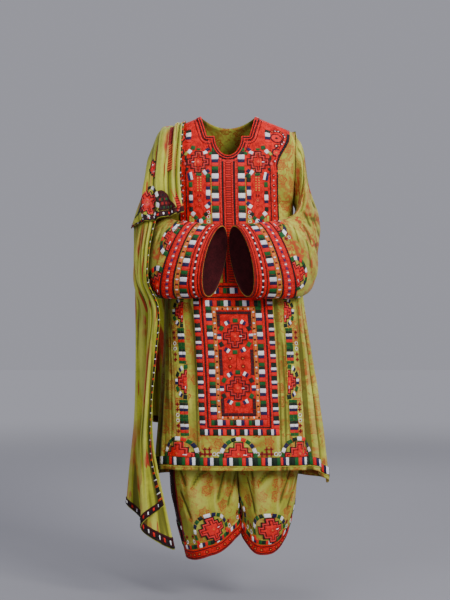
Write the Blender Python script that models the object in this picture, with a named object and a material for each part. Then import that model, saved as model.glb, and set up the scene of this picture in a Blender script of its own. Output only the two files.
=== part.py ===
"""Balochi dress: a worn tunic with its shalwar and shawl, as hollow cloth walls with nobody inside.

Metres, +Z up. The front faces -Y. The origin is between the shoulders, where the wearer holds the tunic up.
Each wall is a grid of outer points worked out from section tables, with inner points one cloth thickness inside.
"""
import bpy
import bmesh
import numpy as np

CLOTH = 0.0018            # wall of the printed cloth
PATCH = 0.0013            # wall of an embroidered piece laid on the cloth
SHAWL_CLOTH = 0.0014
GAP = 0.0003              # clearance at seams and under laid-on pieces
HALF_GAP = GAP / 2

# Tunic body: one row for each level, from the shoulder down.
# height, centre x, half width, front depth, back depth, squareness of the section
TUNIC_LEVELS = np.array([
    (0.02, 0.000, 0.2100, 0.050, 0.062, 2.3),
    (-0.06, 0.000, 0.2085, 0.084, 0.086, 2.3),
    (-0.13, 0.000, 0.2045, 0.110, 0.098, 2.4),
    (-0.26, 0.002, 0.1990, 0.127, 0.104, 2.6),
    (-0.40, 0.007, 0.1990, 0.131, 0.108, 2.8),
    (-0.55, 0.014, 0.2090, 0.138, 0.118, 3.0),
    (-0.71, 0.024, 0.2240, 0.145, 0.134, 3.0),
    (-0.86, 0.031, 0.2420, 0.150, 0.148, 3.0),
    (-1.03, 0.038, 0.2620, 0.155, 0.163, 3.0),
    (-1.16, 0.042, 0.2720, 0.158, 0.172, 3.0),
])
FRONT_HALF = 0.190        # reach of the flat front, where column 1 runs
SIDE_DRAPE = 0.011        # the skirt hangs further out at the left side seam
NECK_HALF, NECK_TOP = 0.083, 0.014
SHOULDER_SLOPE = 0.40
NECK_CORNER, NECK_LEVEL = 0.064, -0.054
KEYHOLE_HALF, KEYHOLE_BOTTOM = 0.040, -0.114
BACK_NECK_DROP = 0.028
NECK_BAND = 0.012         # width of the band round the neck
SHOULDER_ROLL = 0.085     # height over which the cloth rounds over the shoulder
ARMHOLE_Z, ARMHOLE_HALF, ARMHOLE_DEPTH = -0.145, 0.110, 0.070
YOKE_BOTTOM, CHEST_BOTTOM, POCKET_TOP, POCKET_BOTTOM = -0.170, -0.329, -0.500, -0.958
FRONT_HEM, BACK_HEM = -1.063, -1.105
BAND_TOP, BAND_FOOT = 0.040, 0.015      # hem band, measured up from the hem

# Columns of the front: 0 is the middle, 1 the end of the flat front and 2 the side seam.
PLACKET, KEYHOLE, NECK_IN, NECK_OUT, NECK_EDGE = 0.14, 0.21, 0.337, 0.437, 0.507
POCKET, TROUGH, STRIP, FLAT = 0.63, 0.71, 0.79, 1.0
FRONT_COLUMNS = [0.0, 0.07, PLACKET, KEYHOLE, 0.275, NECK_IN, 0.370, 0.404, NECK_OUT, NECK_EDGE, POCKET, TROUGH, STRIP,
                 FLAT, 1.16, 1.32, 1.48, 1.64, 1.82, 2.0]
BACK_COLUMNS = [0.0, 0.16, 0.33, NECK_OUT, NECK_EDGE, 0.66, 0.83, 1.0, 1.25, 1.5, 1.75, 2.0]
YOKE_ROWS = [0.0, 0.28, 0.62, 1.0]      # shares of the way from the neck band down to the yoke's foot
FRONT_LEVELS = [-0.225, -0.277, CHEST_BOTTOM, -0.385, -0.442, POCKET_TOP, -0.590, -0.680, -0.770, -0.870, POCKET_BOTTOM]
BACK_LEVELS = [-0.255, -0.34, -0.44, -0.55, -0.66, -0.77, -0.88, -0.99]

# Folds of the skirt: column, half width in columns, depth (in is negative), where it starts, where it is full
FRONT_FOLDS = [
    (0.71, 0.07, -0.007, -0.40, -0.60),
    (-0.71, 0.07, -0.006, -0.40, -0.60),
    (1.16, 0.09, -0.009, -0.45, -0.80),
    (1.32, 0.10, 0.007, -0.50, -0.90),
    (1.48, 0.09, -0.011, -0.50, -0.90),
    (1.64, 0.10, 0.008, -0.55, -0.95),
    (1.82, 0.09, -0.009, -0.55, -0.95),
    (-1.32, 0.12, -0.007, -0.50, -0.95),
    (-1.64, 0.12, -0.008, -0.50, -0.95),
]
BACK_FOLDS = [
    (0.16, 0.13, -0.012, -0.35, -0.90),
    (-0.33, 0.15, -0.014, -0.35, -0.90),
    (0.66, 0.14, -0.014, -0.35, -0.90),
    (-0.83, 0.14, -0.012, -0.40, -0.90),
    (1.25, 0.18, -0.013, -0.40, -0.95),
    (-1.25, 0.18, -0.010, -0.40, -0.95),
]

# Sleeve of the +X side, from the armhole to the cuff's opening. The outer line runs shoulder, elbow, foot of the cuff;
# the inner line runs underarm, crook, top of the cuff. The front and back vectors reach from the line halfway between.
# Each row: outer x, y, z; inner x, y, z; front vector x, y, z; back vector x, y, z
SLEEVE_SECTIONS = np.array([
    (0.2120, 0.000, -0.0380, 0.2035, 0.000, -0.2560, 0.000, -0.0706, 0.000, 0.000, 0.0706, 0.000),
    (0.2325, 0.004, -0.0900, 0.2070, -0.018, -0.2780, 0.006, -0.0930, 0.000, 0.014, 0.0800, 0.000),
    (0.2480, 0.012, -0.2050, 0.1960, -0.086, -0.2950, 0.014, -0.0780, 0.010, 0.014, 0.0720, -0.014),
    (0.2840, 0.005, -0.3050, 0.1800, -0.124, -0.3020, 0.015, -0.0480, 0.000, 0.000, 0.0400, -0.014),
    (0.2720, -0.012, -0.4000, 0.1660, -0.148, -0.3090, 0.030, -0.0460, 0.000, -0.020, 0.0360, 0.000),
    (0.2620, -0.060, -0.4900, 0.1560, -0.161, -0.3140, 0.032, -0.0550, 0.000, -0.026, 0.0380, 0.000),
    (0.2280, -0.118, -0.5380, 0.1400, -0.172, -0.3180, 0.030, -0.0580, 0.000, -0.028, 0.0420, 0.000),
    (0.1500, -0.175, -0.5460, 0.0850, -0.191, -0.3250, 0.030, -0.0620, 0.000, -0.030, 0.0450, 0.000),
    (0.0560, -0.205, -0.5420, 0.0170, -0.205, -0.3330, 0.034, -0.0600, -0.006, -0.028, 0.0500, 0.000),
])
# Folds of the sleeve: station and half length along it, angle and half angle round it in degrees, depth.
# Angle 0 is the outer line, -90 the front, 180 the inner line.
SLEEVE_FOLDS = [
    (3.05, 0.26, -65, 60, -0.009),
    (4.25, 0.30, -20, 50, -0.006),
    (1.70, 0.80, -48, 14, -0.008),
    (1.80, 0.80, -78, 14, 0.006),
    (1.90, 0.70, -108, 14, -0.008),
    (3.00, 0.30, 80, 50, -0.006),
    (5.40, 0.35, -50, 24, -0.005),
]
SHAWL_PRESS = 0.008       # the shawl presses the right sleeve in by this much
SLEEVE_CLEARANCE = 0.006  # least distance from the tunic's face, except where the sleeve is sewn in
SLEEVE_STATIONS = [0.0, 0.5, 1.0, 1.5, 2.0, 2.5, 3.0, 3.5, 4.2, 5.2, 6.2, 6.8, 7.4, 8.0]
CUFF_START = 10           # index of the sleeve station where the cuff begins
ELBOW = 7                 # index of the station where the sleeve's cloth is parted into two nodes
SLEEVE_SIDES = 28

# Shalwar: height, centre x, half width, half depth
SEAT_LEVELS = np.array([
    (-0.430, 0.012, 0.150, 0.1057),
    (-0.470, 0.013, 0.160, 0.1059),
    (-0.560, 0.016, 0.178, 0.106),
    (-0.700, 0.022, 0.192, 0.108),
    (-0.850, 0.020, 0.200, 0.108),
])
CASING_ROWS = 1
SEAT_SIDES = 28
CROTCH_Z, CROTCH_X = -0.850, 0.020
LEG_SIDES = 26
LEG_SQUARENESS = 2.6
LEG_STATIONS = [0.0, 0.17, 0.34, 0.50, 0.65, 0.78, 0.88]
LEG_CUFF = 0.052
# position down the leg, centre x, centre y, half width, half depth
LEG_RIGHT = np.array([
    (0.00, -0.0803, 0.000, 0.0995, 0.108),
    (0.30, -0.0808, 0.000, 0.0995, 0.104),
    (0.62, -0.0725, -0.002, 0.1000, 0.098),
    (0.85, -0.0580, -0.003, 0.0895, 0.088),
    (1.00, -0.0445, -0.003, 0.0820, 0.079),
])
LEG_LEFT = np.array([
    (0.00, 0.1203, 0.000, 0.0995, 0.108),
    (0.30, 0.1250, 0.000, 0.0985, 0.104),
    (0.62, 0.1240, -0.002, 0.0900, 0.098),
    (0.85, 0.1210, -0.003, 0.0780, 0.086),
    (1.00, 0.1140, -0.003, 0.0670, 0.076),
])
# hem height, rise towards +X, dip of the front
HEM_RIGHT = (-1.300, 0.042, 0.028)
HEM_LEFT = (-1.262, 0.006, 0.066)

# Shawl: lines run its length, from the edge beside the neck to the edge outside the arm. Each level gives the
# lines' x, y and z. The front and back stretches start from the same ridge over the shoulder and upper arm.
RIDGE = ([-0.131, -0.158, -0.185, -0.212, -0.235, -0.262, -0.294],
         [0.000, 0.000, 0.000, 0.000, 0.000, 0.000, 0.000],
         [0.003, -0.006, -0.0150, -0.0259, -0.090, -0.205, -0.325])
SHAWL_SHOULDER = [
    ([-0.134, -0.161, -0.188, -0.216, -0.238, -0.264, -0.294], [-0.075, -0.079, -0.073, -0.056, -0.050, -0.048, -0.045],
     [-0.020, -0.030, -0.042, -0.054, -0.115, -0.215, -0.330]),
    ([-0.138, -0.165, -0.193, -0.220, -0.242, -0.266, -0.294], [-0.122, -0.129, -0.128, -0.114, -0.102, -0.090, -0.080],
     [-0.090, -0.100, -0.112, -0.125, -0.168, -0.240, -0.335]),
    ([-0.141, -0.169, -0.198, -0.226, -0.249, -0.270, -0.292], [-0.142, -0.152, -0.155, -0.148, -0.138, -0.124, -0.108],
     [-0.180, -0.188, -0.195, -0.205, -0.232, -0.276, -0.333]),
    ([-0.132, -0.160, -0.190, -0.218, -0.242, -0.264, -0.284], [-0.172, -0.186, -0.196, -0.192, -0.178, -0.156, -0.134],
     [-0.290, -0.298, -0.307, -0.314, -0.318, -0.322, -0.330]),
]
SHAWL_BACK = [
    ([-0.132, -0.160, -0.188, -0.216, -0.238, -0.263, -0.294], [0.078, 0.081, 0.075, 0.058, 0.052, 0.046, 0.040],
     [-0.022, -0.032, -0.045, -0.056, -0.118, -0.215, -0.330]),
    ([-0.122, -0.154, -0.188, -0.220, -0.244, -0.267, -0.294], [0.118, 0.122, 0.120, 0.108, 0.096, 0.085, 0.070],
     [-0.110, -0.118, -0.128, -0.145, -0.190, -0.250, -0.340]),
    ([-0.108, -0.146, -0.186, -0.222, -0.248, -0.270, -0.292], [0.136, 0.144, 0.146, 0.138, 0.124, 0.108, 0.090],
     [-0.260, -0.265, -0.270, -0.280, -0.300, -0.330, -0.375]),
    ([-0.099, -0.134, -0.170, -0.205, -0.236, -0.262, -0.282], [0.146, 0.160, 0.152, 0.162, 0.146, 0.138, 0.112],
     [-0.460, -0.465, -0.470, -0.475, -0.482, -0.495, -0.515]),
    ([-0.098, -0.124, -0.150, -0.176, -0.202, -0.226, -0.248], [0.166, 0.192, 0.168, 0.194, 0.168, 0.188, 0.152],
     [-0.700, -0.703, -0.706, -0.709, -0.712, -0.718, -0.728]),
    ([-0.100, -0.122, -0.146, -0.172, -0.196, -0.220, -0.242], [0.180, 0.212, 0.184, 0.214, 0.184, 0.208, 0.170],
     [-0.930, -0.945, -0.955, -0.965, -0.960, -0.952, -0.945]),
]
# The other end of the shawl comes round the arm from the back and hangs beside the skirt in three folds.
SHAWL_FALL = [
    ([-0.203, -0.238, -0.262, -0.2848, -0.2863], [-0.156, -0.140, -0.112, -0.062, 0.006],
     [-0.272, -0.280, -0.290, -0.308, -0.312]),
    ([-0.218, -0.247, -0.268, -0.2850, -0.2860], [-0.190, -0.172, -0.138, -0.082, -0.005],
     [-0.335, -0.340, -0.345, -0.350, -0.352]),
    ([-0.234, -0.258, -0.274, -0.2840, -0.2850], [-0.206, -0.182, -0.147, -0.095, -0.020],
     [-0.418, -0.420, -0.422, -0.424, -0.426]),
    ([-0.236, -0.258, -0.271, -0.2820, -0.2830], [-0.202, -0.178, -0.145, -0.090, -0.025],
     [-0.496, -0.498, -0.500, -0.502, -0.504]),
    ([-0.205, -0.234, -0.230, -0.278, -0.272], [-0.176, -0.154, -0.126, -0.080, -0.036],
     [-0.580, -0.582, -0.585, -0.590, -0.595]),
    ([-0.213, -0.243, -0.222, -0.281, -0.256], [-0.152, -0.130, -0.100, -0.066, -0.030],
     [-0.700, -0.702, -0.705, -0.710, -0.715]),
    ([-0.226, -0.256, -0.229, -0.285, -0.258], [-0.148, -0.124, -0.094, -0.060, -0.024],
     [-0.860, -0.862, -0.865, -0.868, -0.872]),
    ([-0.228, -0.266, -0.222, -0.296, -0.268], [-0.152, -0.124, -0.092, -0.058, -0.022],
     [-1.015, -1.020, -1.025, -1.022, -1.020]),
    ([-0.190, -0.262, -0.163, -0.307, -0.268], [-0.158, -0.128, -0.094, -0.058, -0.022],
     [-1.165, -1.240, -1.308, -1.180, -1.172]),
]
SHAWL_BORDER = 0.016
SHAWL_ACROSS = [0, 0.045, 0.09, 0.14, 0.19, 0.25, 0.32, 0.39, 0.46, 0.54, 0.62, 0.70, 0.78, 0.86, 0.93, 1]
# Folds of the shoulder stretches: share of the width, half width and depth
SHAWL_FOLDS = [
    (0.040, 0.040, 0.004),
    (0.095, 0.030, -0.007),
    (0.150, 0.040, 0.006),
    (0.225, 0.035, -0.006),
    (0.370, 0.070, 0.004),
    (0.500, 0.050, -0.004),
]
# Folds of the trouser legs: angle and half angle in degrees (-90 is the front), depth at the knee
LEG_FOLDS = [(-135, 16, -0.008), (-100, 16, 0.006), (-62, 14, -0.008), (-25, 16, 0.004), (10, 16, -0.007),
             (60, 18, -0.008), (110, 18, 0.006), (150, 16, -0.008)]

LIME, RED, DARK = (0.50, 0.52, 0.10), (0.62, 0.05, 0.04), (0.12, 0.02, 0.03)


def clear_scene():
    for obj in list(bpy.data.objects):
        bpy.data.objects.remove(obj)


def material(name, colour, roughness=0.85):
    made = bpy.data.materials.new(name)
    made.use_nodes = True
    shader = made.node_tree.nodes["Principled BSDF"]
    shader.inputs["Base Color"].default_value = (*colour, 1)
    shader.inputs["Roughness"].default_value = roughness
    return made


def smooth(keys, rows, at):
    """Values of the table's rows at the keys asked for, on smooth curves through the rows."""
    keys, rows, at = np.asarray(keys, float), np.asarray(rows, float), np.asarray(at, float)
    slopes = np.gradient(rows, keys, axis=0)
    index = np.clip(np.searchsorted(keys, at) - 1, 0, len(keys) - 2)
    step = keys[index + 1] - keys[index]
    t = np.clip((at - keys[index]) / step, 0, 1)
    extra = (1,) * (rows.ndim - 1)
    t, step = t.reshape(t.shape + extra), step.reshape(step.shape + extra)
    return ((1 + 2 * t) * (1 - t) ** 2 * rows[index] + t * (1 - t) ** 2 * step * slopes[index]
            + t * t * (3 - 2 * t) * rows[index + 1] + t * t * (t - 1) * step * slopes[index + 1])


def ease(t):
    t = np.clip(t, 0, 1)
    return t * t * (3 - 2 * t)


def normals(grid, closed):
    """Unit normals of a grid of points, to the left of the columns' direction seen along the rows."""
    if closed:
        across = np.roll(grid, -1, axis=1) - np.roll(grid, 1, axis=1)
    else:
        across = np.gradient(grid, axis=1)
    down = np.gradient(grid, axis=0)
    cross = np.cross(down, across)
    return cross / np.maximum(np.linalg.norm(cross, axis=2, keepdims=True), 1e-12)


def solid(name, outer, inner, closed, look):
    """A closed wall between two grids of points, with every face cut along the same diagonal."""
    rows, columns = outer.shape[:2]
    points = np.concatenate([outer.reshape(-1, 3), inner.reshape(-1, 3)])
    other = rows * columns
    last = columns if closed else columns - 1
    faces = []
    for i in range(rows - 1):
        for j in range(last):
            a, b = i * columns + j, i * columns + (j + 1) % columns
            c, d = b + columns, a + columns
            faces += [(a, d, c), (a, c, b), (other + a, other + c, other + d), (other + a, other + b, other + c)]
    rims = [[j for j in range(columns)], [(rows - 1) * columns + j for j in range(columns)]]
    if closed:
        rims = [rim + rim[:1] for rim in rims]
    else:
        rims += [[i * columns for i in range(rows)], [i * columns + columns - 1 for i in range(rows)]]
    for rim in rims:
        for a, b in zip(rim[:-1], rim[1:]):
            faces += [(a, b, other + b), (a, other + b, other + a)]
    mesh = bpy.data.meshes.new(name)
    mesh.from_pydata(points.tolist(), [], faces)
    shape = bmesh.new()
    shape.from_mesh(mesh)
    bmesh.ops.recalc_face_normals(shape, faces=shape.faces)
    shape.to_mesh(mesh)
    shape.free()
    mesh.materials.append(look)
    mesh.shade_smooth()
    mesh.set_sharp_from_angle(angle=0.9)
    obj = bpy.data.objects.new(name, mesh)
    bpy.context.scene.collection.objects.link(obj)
    return obj


def wall(name, outer, outward, thickness, look, closed=False):
    """Cloth whose outer side is the grid, made one thickness inwards."""
    return solid(name, outer, outer - outward * thickness, closed, look)


def inset(grid, closed, by):
    """The grid with its open edges drawn in by a small distance, so that neighbours keep a seam's gap."""
    grid = grid.copy()

    def draw_in(edge, inside):
        run = inside - edge
        return edge + run * (by / np.maximum(np.linalg.norm(run, axis=1, keepdims=True), 1e-9))

    grid[0], grid[-1] = draw_in(grid[0], grid[1].copy()), draw_in(grid[-1], grid[-2].copy())
    if not closed:
        grid[:, 0] = draw_in(grid[:, 0], grid[:, 1].copy())
        grid[:, -1] = draw_in(grid[:, -1], grid[:, -2].copy())
    return grid


def patch(name, base, outward, look, closed=False, lift=GAP, thickness=PATCH):
    """A piece laid on a panel: the panel's own points, moved out."""
    low = inset(base + outward * lift, closed, HALF_GAP)
    high = inset(base + outward * (lift + thickness), closed, HALF_GAP)
    return solid(name, high, low, closed, look)


def shoulder_line(x):
    return NECK_TOP - (np.abs(x) - NECK_HALF) * SHOULDER_SLOPE


def front_neckline(x):
    """Height of the front's top edge: a keyhole, a level stretch, the slanted neck and the shoulder."""
    x = np.abs(x)
    bowl = np.sqrt(np.clip(1 - (x / KEYHOLE_HALF) ** 2, 0, 1))
    keyhole = NECK_LEVEL - (NECK_LEVEL - KEYHOLE_BOTTOM) * bowl
    slant = np.interp(x, [NECK_CORNER, NECK_HALF], [NECK_LEVEL, NECK_TOP])
    return np.where(x < KEYHOLE_HALF, keyhole, np.where(x < NECK_HALF, slant, shoulder_line(x)))


def back_neckline(x):
    x = np.abs(x)
    scoop = NECK_TOP - BACK_NECK_DROP * (1 - (x / NECK_HALF) ** 2)
    return np.where(x < NECK_HALF, scoop, shoulder_line(x))


def column_offset(column, height):
    """Distance from the middle of a column of the flat front. The chest panel widens towards the shoulder."""
    size = np.abs(column)
    widen = ease((height + 0.15) / 0.10)
    reach = np.interp(size, [0, 0.55, STRIP, FLAT, 2], [0, 0, 0.040, 0.007, 0])
    return FRONT_HALF * np.minimum(size, 1) + widen * reach


def fold_depth(folds, column, height):
    total = np.zeros_like(height)
    for at, half, depth, start, full in folds:
        total = total + depth * np.exp(-((column - at) / half) ** 2) * ease((start - height) / (start - full))
    return total


def tunic_side(column, height, back=False):
    """Points of the tunic's outer face: a squarish oval section at each level, rolled over the shoulder."""
    levels = TUNIC_LEVELS[::-1]
    centre, half, front, rear, square = np.moveaxis(smooth(levels[:, 0], levels[:, 1:], height), -1, 0)
    depth = rear if back else front
    flat = np.arcsin(np.clip(column_offset(column, height) / half, 0, 1) ** (square / 2))
    angle = flat + (np.pi / 2 - flat) * np.clip(np.abs(column) - 1, 0, 1)
    armhole = ARMHOLE_DEPTH * np.sqrt(np.clip(1 - ((height - ARMHOLE_Z) / ARMHOLE_HALF) ** 2, 0, 1))
    away = half * np.sin(angle) ** (2 / square)
    out = armhole + (depth - armhole) * np.clip(np.cos(angle), 0, 1) ** (2 / square)
    rise = np.clip((shoulder_line(away) - height) / SHOULDER_ROLL, 0, 1)
    rise = np.where(away < NECK_HALF, np.clip((NECK_TOP - height) / SHOULDER_ROLL, 0, 1), rise)
    out = out * np.sqrt(1 - (1 - rise) ** 2)
    drape = ease((-0.38 - height) / 0.15) * (1 - 0.6 * ease((-0.75 - height) / 0.3))
    away = away + SIDE_DRAPE * drape * np.clip(column - 1, 0, 1)
    push = fold_depth(BACK_FOLDS if back else FRONT_FOLDS, column, height)
    away = away + push * np.sin(angle)
    out = np.maximum(out + push * np.cos(angle), 0) + HALF_GAP
    return np.stack([centre + np.sign(column) * away, out if back else -out, height], axis=-1)


def front_hem(column):
    return FRONT_HEM - 0.050 * ease((column - 1.15) / 0.75) - 0.010 * ease((-column - 1.2) / 0.8)


def back_hem(column):
    return BACK_HEM - 0.004 * column


def band_line(neckline, x):
    """Lower edge of the neck band: the lowest point within one band width of the neckline."""
    steps = np.linspace(-1, 1, 25) * NECK_BAND
    reach = neckline(x[None] + steps[:, None]) - np.sqrt(NECK_BAND ** 2 - steps ** 2)[:, None]
    return reach.min(axis=0)


def tunic_grid(columns, levels, neckline, hem, back):
    """Rows follow the neckline down to the yoke, then level lines, then the hem."""
    columns = np.array(sorted({-c for c in columns} | set(columns)))
    reach = column_offset(columns, np.zeros_like(columns))
    top, band = neckline(reach), band_line(neckline, reach)
    bottom = hem(columns)
    rows = [top] + [band + (YOKE_BOTTOM - band) * share for share in YOKE_ROWS]
    rows += [np.full_like(columns, level) for level in levels]
    rows += [bottom + BAND_TOP, bottom + BAND_FOOT, bottom]
    heights = np.array(rows)
    grid = tunic_side(np.broadcast_to(columns, heights.shape), heights, back)
    outward = normals(grid, False)
    middle = len(columns) // 2
    if (outward[len(rows) // 2, middle, 1] > 0) != back:
        outward = -outward
    outward[:, [0, -1], 1] = 0
    shoulder = np.abs(reach) >= NECK_HALF
    lean = np.sign(columns) * np.clip(np.abs(columns) - 1, 0, 1) * 0.15
    outward[0, shoulder] = np.stack([lean, 0 * lean, 0 * lean + 1], axis=1)[shoulder]
    outward /= np.linalg.norm(outward, axis=2, keepdims=True)
    return columns, grid, outward


def build_tunic_body(cloth, work, trim):
    columns, grid, outward = tunic_grid(FRONT_COLUMNS, FRONT_LEVELS, front_neckline, front_hem, False)
    wall("tunic_front", grid, outward, CLOTH, cloth)

    def column(value):
        return int(np.argmin(np.abs(columns - value)))

    def laid(name, first, last, top, bottom, lift=GAP, look=work):
        rows, across = slice(top, bottom + 1), slice(column(first), column(last) + 1)
        patch(name, grid[rows, across], outward[rows, across], look, lift=lift)

    below = len(YOKE_ROWS) + 1
    chest, pocket_top, pocket_bottom = (below + FRONT_LEVELS.index(level)
                                        for level in (CHEST_BOTTOM, POCKET_TOP, POCKET_BOTTOM))
    band, foot = pocket_bottom + 1, pocket_bottom + 2
    laid("chest_panel_left", PLACKET, STRIP, 0, chest)
    laid("chest_panel_right", -STRIP, -PLACKET, 0, chest)
    laid("placket", -PLACKET, PLACKET, 0, pocket_top)
    laid("pocket_panel", -POCKET, POCKET, pocket_top, pocket_bottom)
    laid("skirt_strip_left", STRIP, FLAT, pocket_top, band)
    laid("skirt_strip_right", -FLAT, -STRIP, pocket_top, band)
    laid("hem_band_front", -2, 2, band, foot)
    laid("neck_band_front", -NECK_EDGE, NECK_EDGE, 0, 1, lift=2 * GAP + PATCH, look=trim)

    columns, grid, outward = tunic_grid(BACK_COLUMNS, BACK_LEVELS, back_neckline, back_hem, True)
    wall("tunic_back", grid, outward, CLOTH, cloth)
    patch("hem_band_back", grid[-3:-1], outward[-3:-1], work)
    laid("neck_band_back", -NECK_EDGE, NECK_EDGE, 0, 1, look=trim)


def clear_of_tunic(points, margin):
    """Points inside the tunic's section, or nearer to it than the margin, are pushed straight out to the margin."""
    levels = TUNIC_LEVELS[::-1]
    centre, half, front, rear, square = np.moveaxis(smooth(levels[:, 0], levels[:, 1:], points[..., 2]), -1, 0)
    depth = np.where(points[..., 1] < 0, front, rear) + margin
    armhole = ARMHOLE_DEPTH * np.sqrt(np.clip(1 - ((points[..., 2] - ARMHOLE_Z) / ARMHOLE_HALF) ** 2, 0, 1))
    across = (points[..., 0] - centre) / (half + margin)
    along = np.clip(np.abs(points[..., 1]) - armhole, 0, None) / (depth - armhole)
    reach = (np.abs(across) ** square + along ** square) ** (1 / square)
    grow = np.maximum(1 / np.maximum(reach, 0.3), 1)
    pushed = points.copy()
    pushed[..., 0] = centre + across * grow * (half + margin)
    beyond = np.sign(points[..., 1]) * (armhole + along * grow * (depth - armhole))
    pushed[..., 1] = np.where(along > 0, beyond, points[..., 1])
    return np.where((grow > 1)[..., None], pushed, points)


def sleeve_grid(side, stations, sides):
    """Oval sections between the sleeve's outer and inner lines, with its folds, kept clear of the tunic."""
    stations = np.asarray(stations, float)
    section = smooth(range(len(SLEEVE_SECTIONS)), SLEEVE_SECTIONS, stations)[:, None]
    outer, inner, front, back = section[..., 0:3], section[..., 3:6], section[..., 6:9], section[..., 9:12]
    if side < 0:
        outer[..., 0] -= (SHAWL_PRESS * ease(stations) * (1 - ease((stations - 4) / 2)))[:, None]
    angle = np.linspace(0, 2 * np.pi, sides, endpoint=False)[None, :, None]
    spread = np.where(np.sin(angle) < 0, -front, back)
    reach = (outer - inner) / 2 * np.cos(angle) + spread * np.sin(angle)
    push = np.zeros((len(stations), sides, 1))
    folds = SLEEVE_FOLDS if side > 0 else [fold for fold in SLEEVE_FOLDS if fold[0] > 2]
    for at, half, turn, half_turn, depth in folds:
        apart = (np.degrees(angle) - turn + 180) % 360 - 180
        push = push + depth * np.exp(-((stations[:, None, None] - at) / half) ** 2 - (apart / half_turn) ** 2)
    grid = (outer + inner) / 2 + reach + push * reach / np.linalg.norm(reach, axis=2, keepdims=True)
    grid = grid * np.array([side, 1, 1])
    levels = TUNIC_LEVELS[::-1]
    centre, half = np.moveaxis(smooth(levels[:, 0], levels[:, 1:3], grid[0, :, 2]), -1, 0)
    grid[0, :, 0] = centre + side * (half + 2 * GAP + 0.0014 * ease((grid[0, :, 2] + 0.10) / 0.05))
    margin = GAP + (SLEEVE_CLEARANCE - GAP) * ease(stations)[:, None]
    return clear_of_tunic(grid, margin)


def build_sleeve(side, name, forearm_name, cuff_name, cloth, work):
    """One tube of cloth in two nodes, parted at the elbow so that the collision of each follows its hollow."""
    grid = sleeve_grid(side, SLEEVE_STATIONS, SLEEVE_SIDES)
    outward = normals(grid, True)
    middle = grid.mean(axis=1, keepdims=True)
    if ((grid - middle) * outward).sum(axis=2).mean() < 0:
        outward = -outward
    wall(name, grid[:ELBOW + 1], outward[:ELBOW + 1], CLOTH, cloth, closed=True)
    forearm = grid[ELBOW:].copy()
    run = forearm[1] - forearm[0]
    forearm[0] += run * (GAP / np.linalg.norm(run, axis=1, keepdims=True))
    wall(forearm_name, forearm, outward[ELBOW:], CLOTH, cloth, closed=True)
    patch(cuff_name, grid[CUFF_START:], outward[CUFF_START:], work, closed=True)


def oval(sides, square):
    angle = np.linspace(0, 2 * np.pi, sides, endpoint=False)
    across, along = np.cos(angle), np.sin(angle)
    power = 2 / square
    return np.sign(across) * np.abs(across) ** power, np.sign(along) * np.abs(along) ** power, across, along


def build_shalwar_seat(cloth):
    across, along, _, _ = oval(SEAT_SIDES, 2.4)
    rows = []
    for height, centre, half, depth in SEAT_LEVELS:
        ring = np.stack([centre + half * across, depth * along, np.full(SEAT_SIDES, height)], axis=1)
        rows.append(ring)
    rows[-1][:, 2] += HALF_GAP
    grid = np.array(rows)
    outward = normals(grid, True)
    if outward[0, 0, 0] < 0:
        outward = -outward
    wall("shalwar_seat", grid, outward, CLOTH, cloth, closed=True)
    patch("waist_casing", grid[: CASING_ROWS + 1], outward[: CASING_ROWS + 1], cloth, closed=True)


def build_leg(name, cuff_name, table, hem, cloth, work):
    """A trouser leg from the crotch line to a tilted, dipping hem."""
    across, along, turn_x, turn_y = oval(LEG_SIDES, LEG_SQUARENESS)
    bottom = hem[0] + hem[1] * turn_x - hem[2] * np.clip(-turn_y, 0, 1) ** 1.5
    top = np.full(LEG_SIDES, CROTCH_Z - HALF_GAP)
    rows = [top + (bottom - top) * share for share in LEG_STATIONS]
    rows = [row for row in rows if (row - bottom).min() > LEG_CUFF + 0.01]
    rows += [bottom + LEG_CUFF, bottom + LEG_CUFF / 2, bottom]
    heights = np.array(rows)
    share = (heights - top) / (bottom - top)
    centre_x, centre_y, half, depth = np.moveaxis(smooth(table[:, 0], table[:, 1:], share), -1, 0)
    push = np.zeros(LEG_SIDES)
    for at, half_turn, fold in LEG_FOLDS:
        apart = (np.degrees(np.arctan2(turn_y, turn_x)) - at + 180) % 360 - 180
        push = push + fold * np.exp(-(apart / half_turn) ** 2)
    push = push * ease(share * 2.5) * (1 - 0.6 * ease((share - 0.6) / 0.4))
    grid = np.stack([centre_x + (half + push) * across, centre_y + (depth + push) * along, heights], axis=-1)
    outward = normals(grid, True)
    if outward[0, 0, 0] < 0:
        outward = -outward
    wall(name, grid, outward, CLOTH, cloth, closed=True)
    patch(cuff_name, grid[-3:], outward[-3:], work, closed=True)


def shawl_grid(levels, down, across):
    """Smooth curves through the shawl's lines, along it and across it."""
    table = np.array([np.stack(level, axis=-1) for level in levels])
    rows = smooth(range(len(table)), table, down)
    return np.moveaxis(smooth(np.linspace(0, 1, table.shape[1]), np.moveaxis(rows, 1, 0), across), 0, 1)


def build_shawl(name, levels, down, across, cloth, work, over_shoulder):
    """One stretch of the shawl, which may start at the ridge, and the border along its foot."""
    down = np.asarray(down, float)
    grid = shawl_grid(levels, down, across)
    ahead = grid[-1, :, 1].mean() < 0
    if over_shoulder:
        grid[0, :, 1] += -HALF_GAP if ahead else HALF_GAP
    outward = normals(grid, False)
    if (outward[2, 1, 1] > 0) == ahead:
        outward = -outward
    if over_shoulder:
        push = sum(depth * np.exp(-((across - at) / half) ** 2) for at, half, depth in SHAWL_FOLDS)
        outward[0, :, 1] = 0
        fade = 0.5 + 0.5 * ease(down)[:, None, None]
        grid = grid + outward / np.linalg.norm(outward, axis=2, keepdims=True) * push[:, None] * fade
        outward = normals(grid, False)
        if (outward[2, 1, 1] > 0) == ahead:
            outward = -outward
        outward[0, :, 1] = 0
        outward /= np.linalg.norm(outward, axis=2, keepdims=True)
    middle = outward * SHAWL_CLOTH / 2
    solid(name, grid + middle, grid - middle, False, cloth)
    patch(name + "_border", grid[-2:] + middle[-2:], outward[-2:], work)


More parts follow.
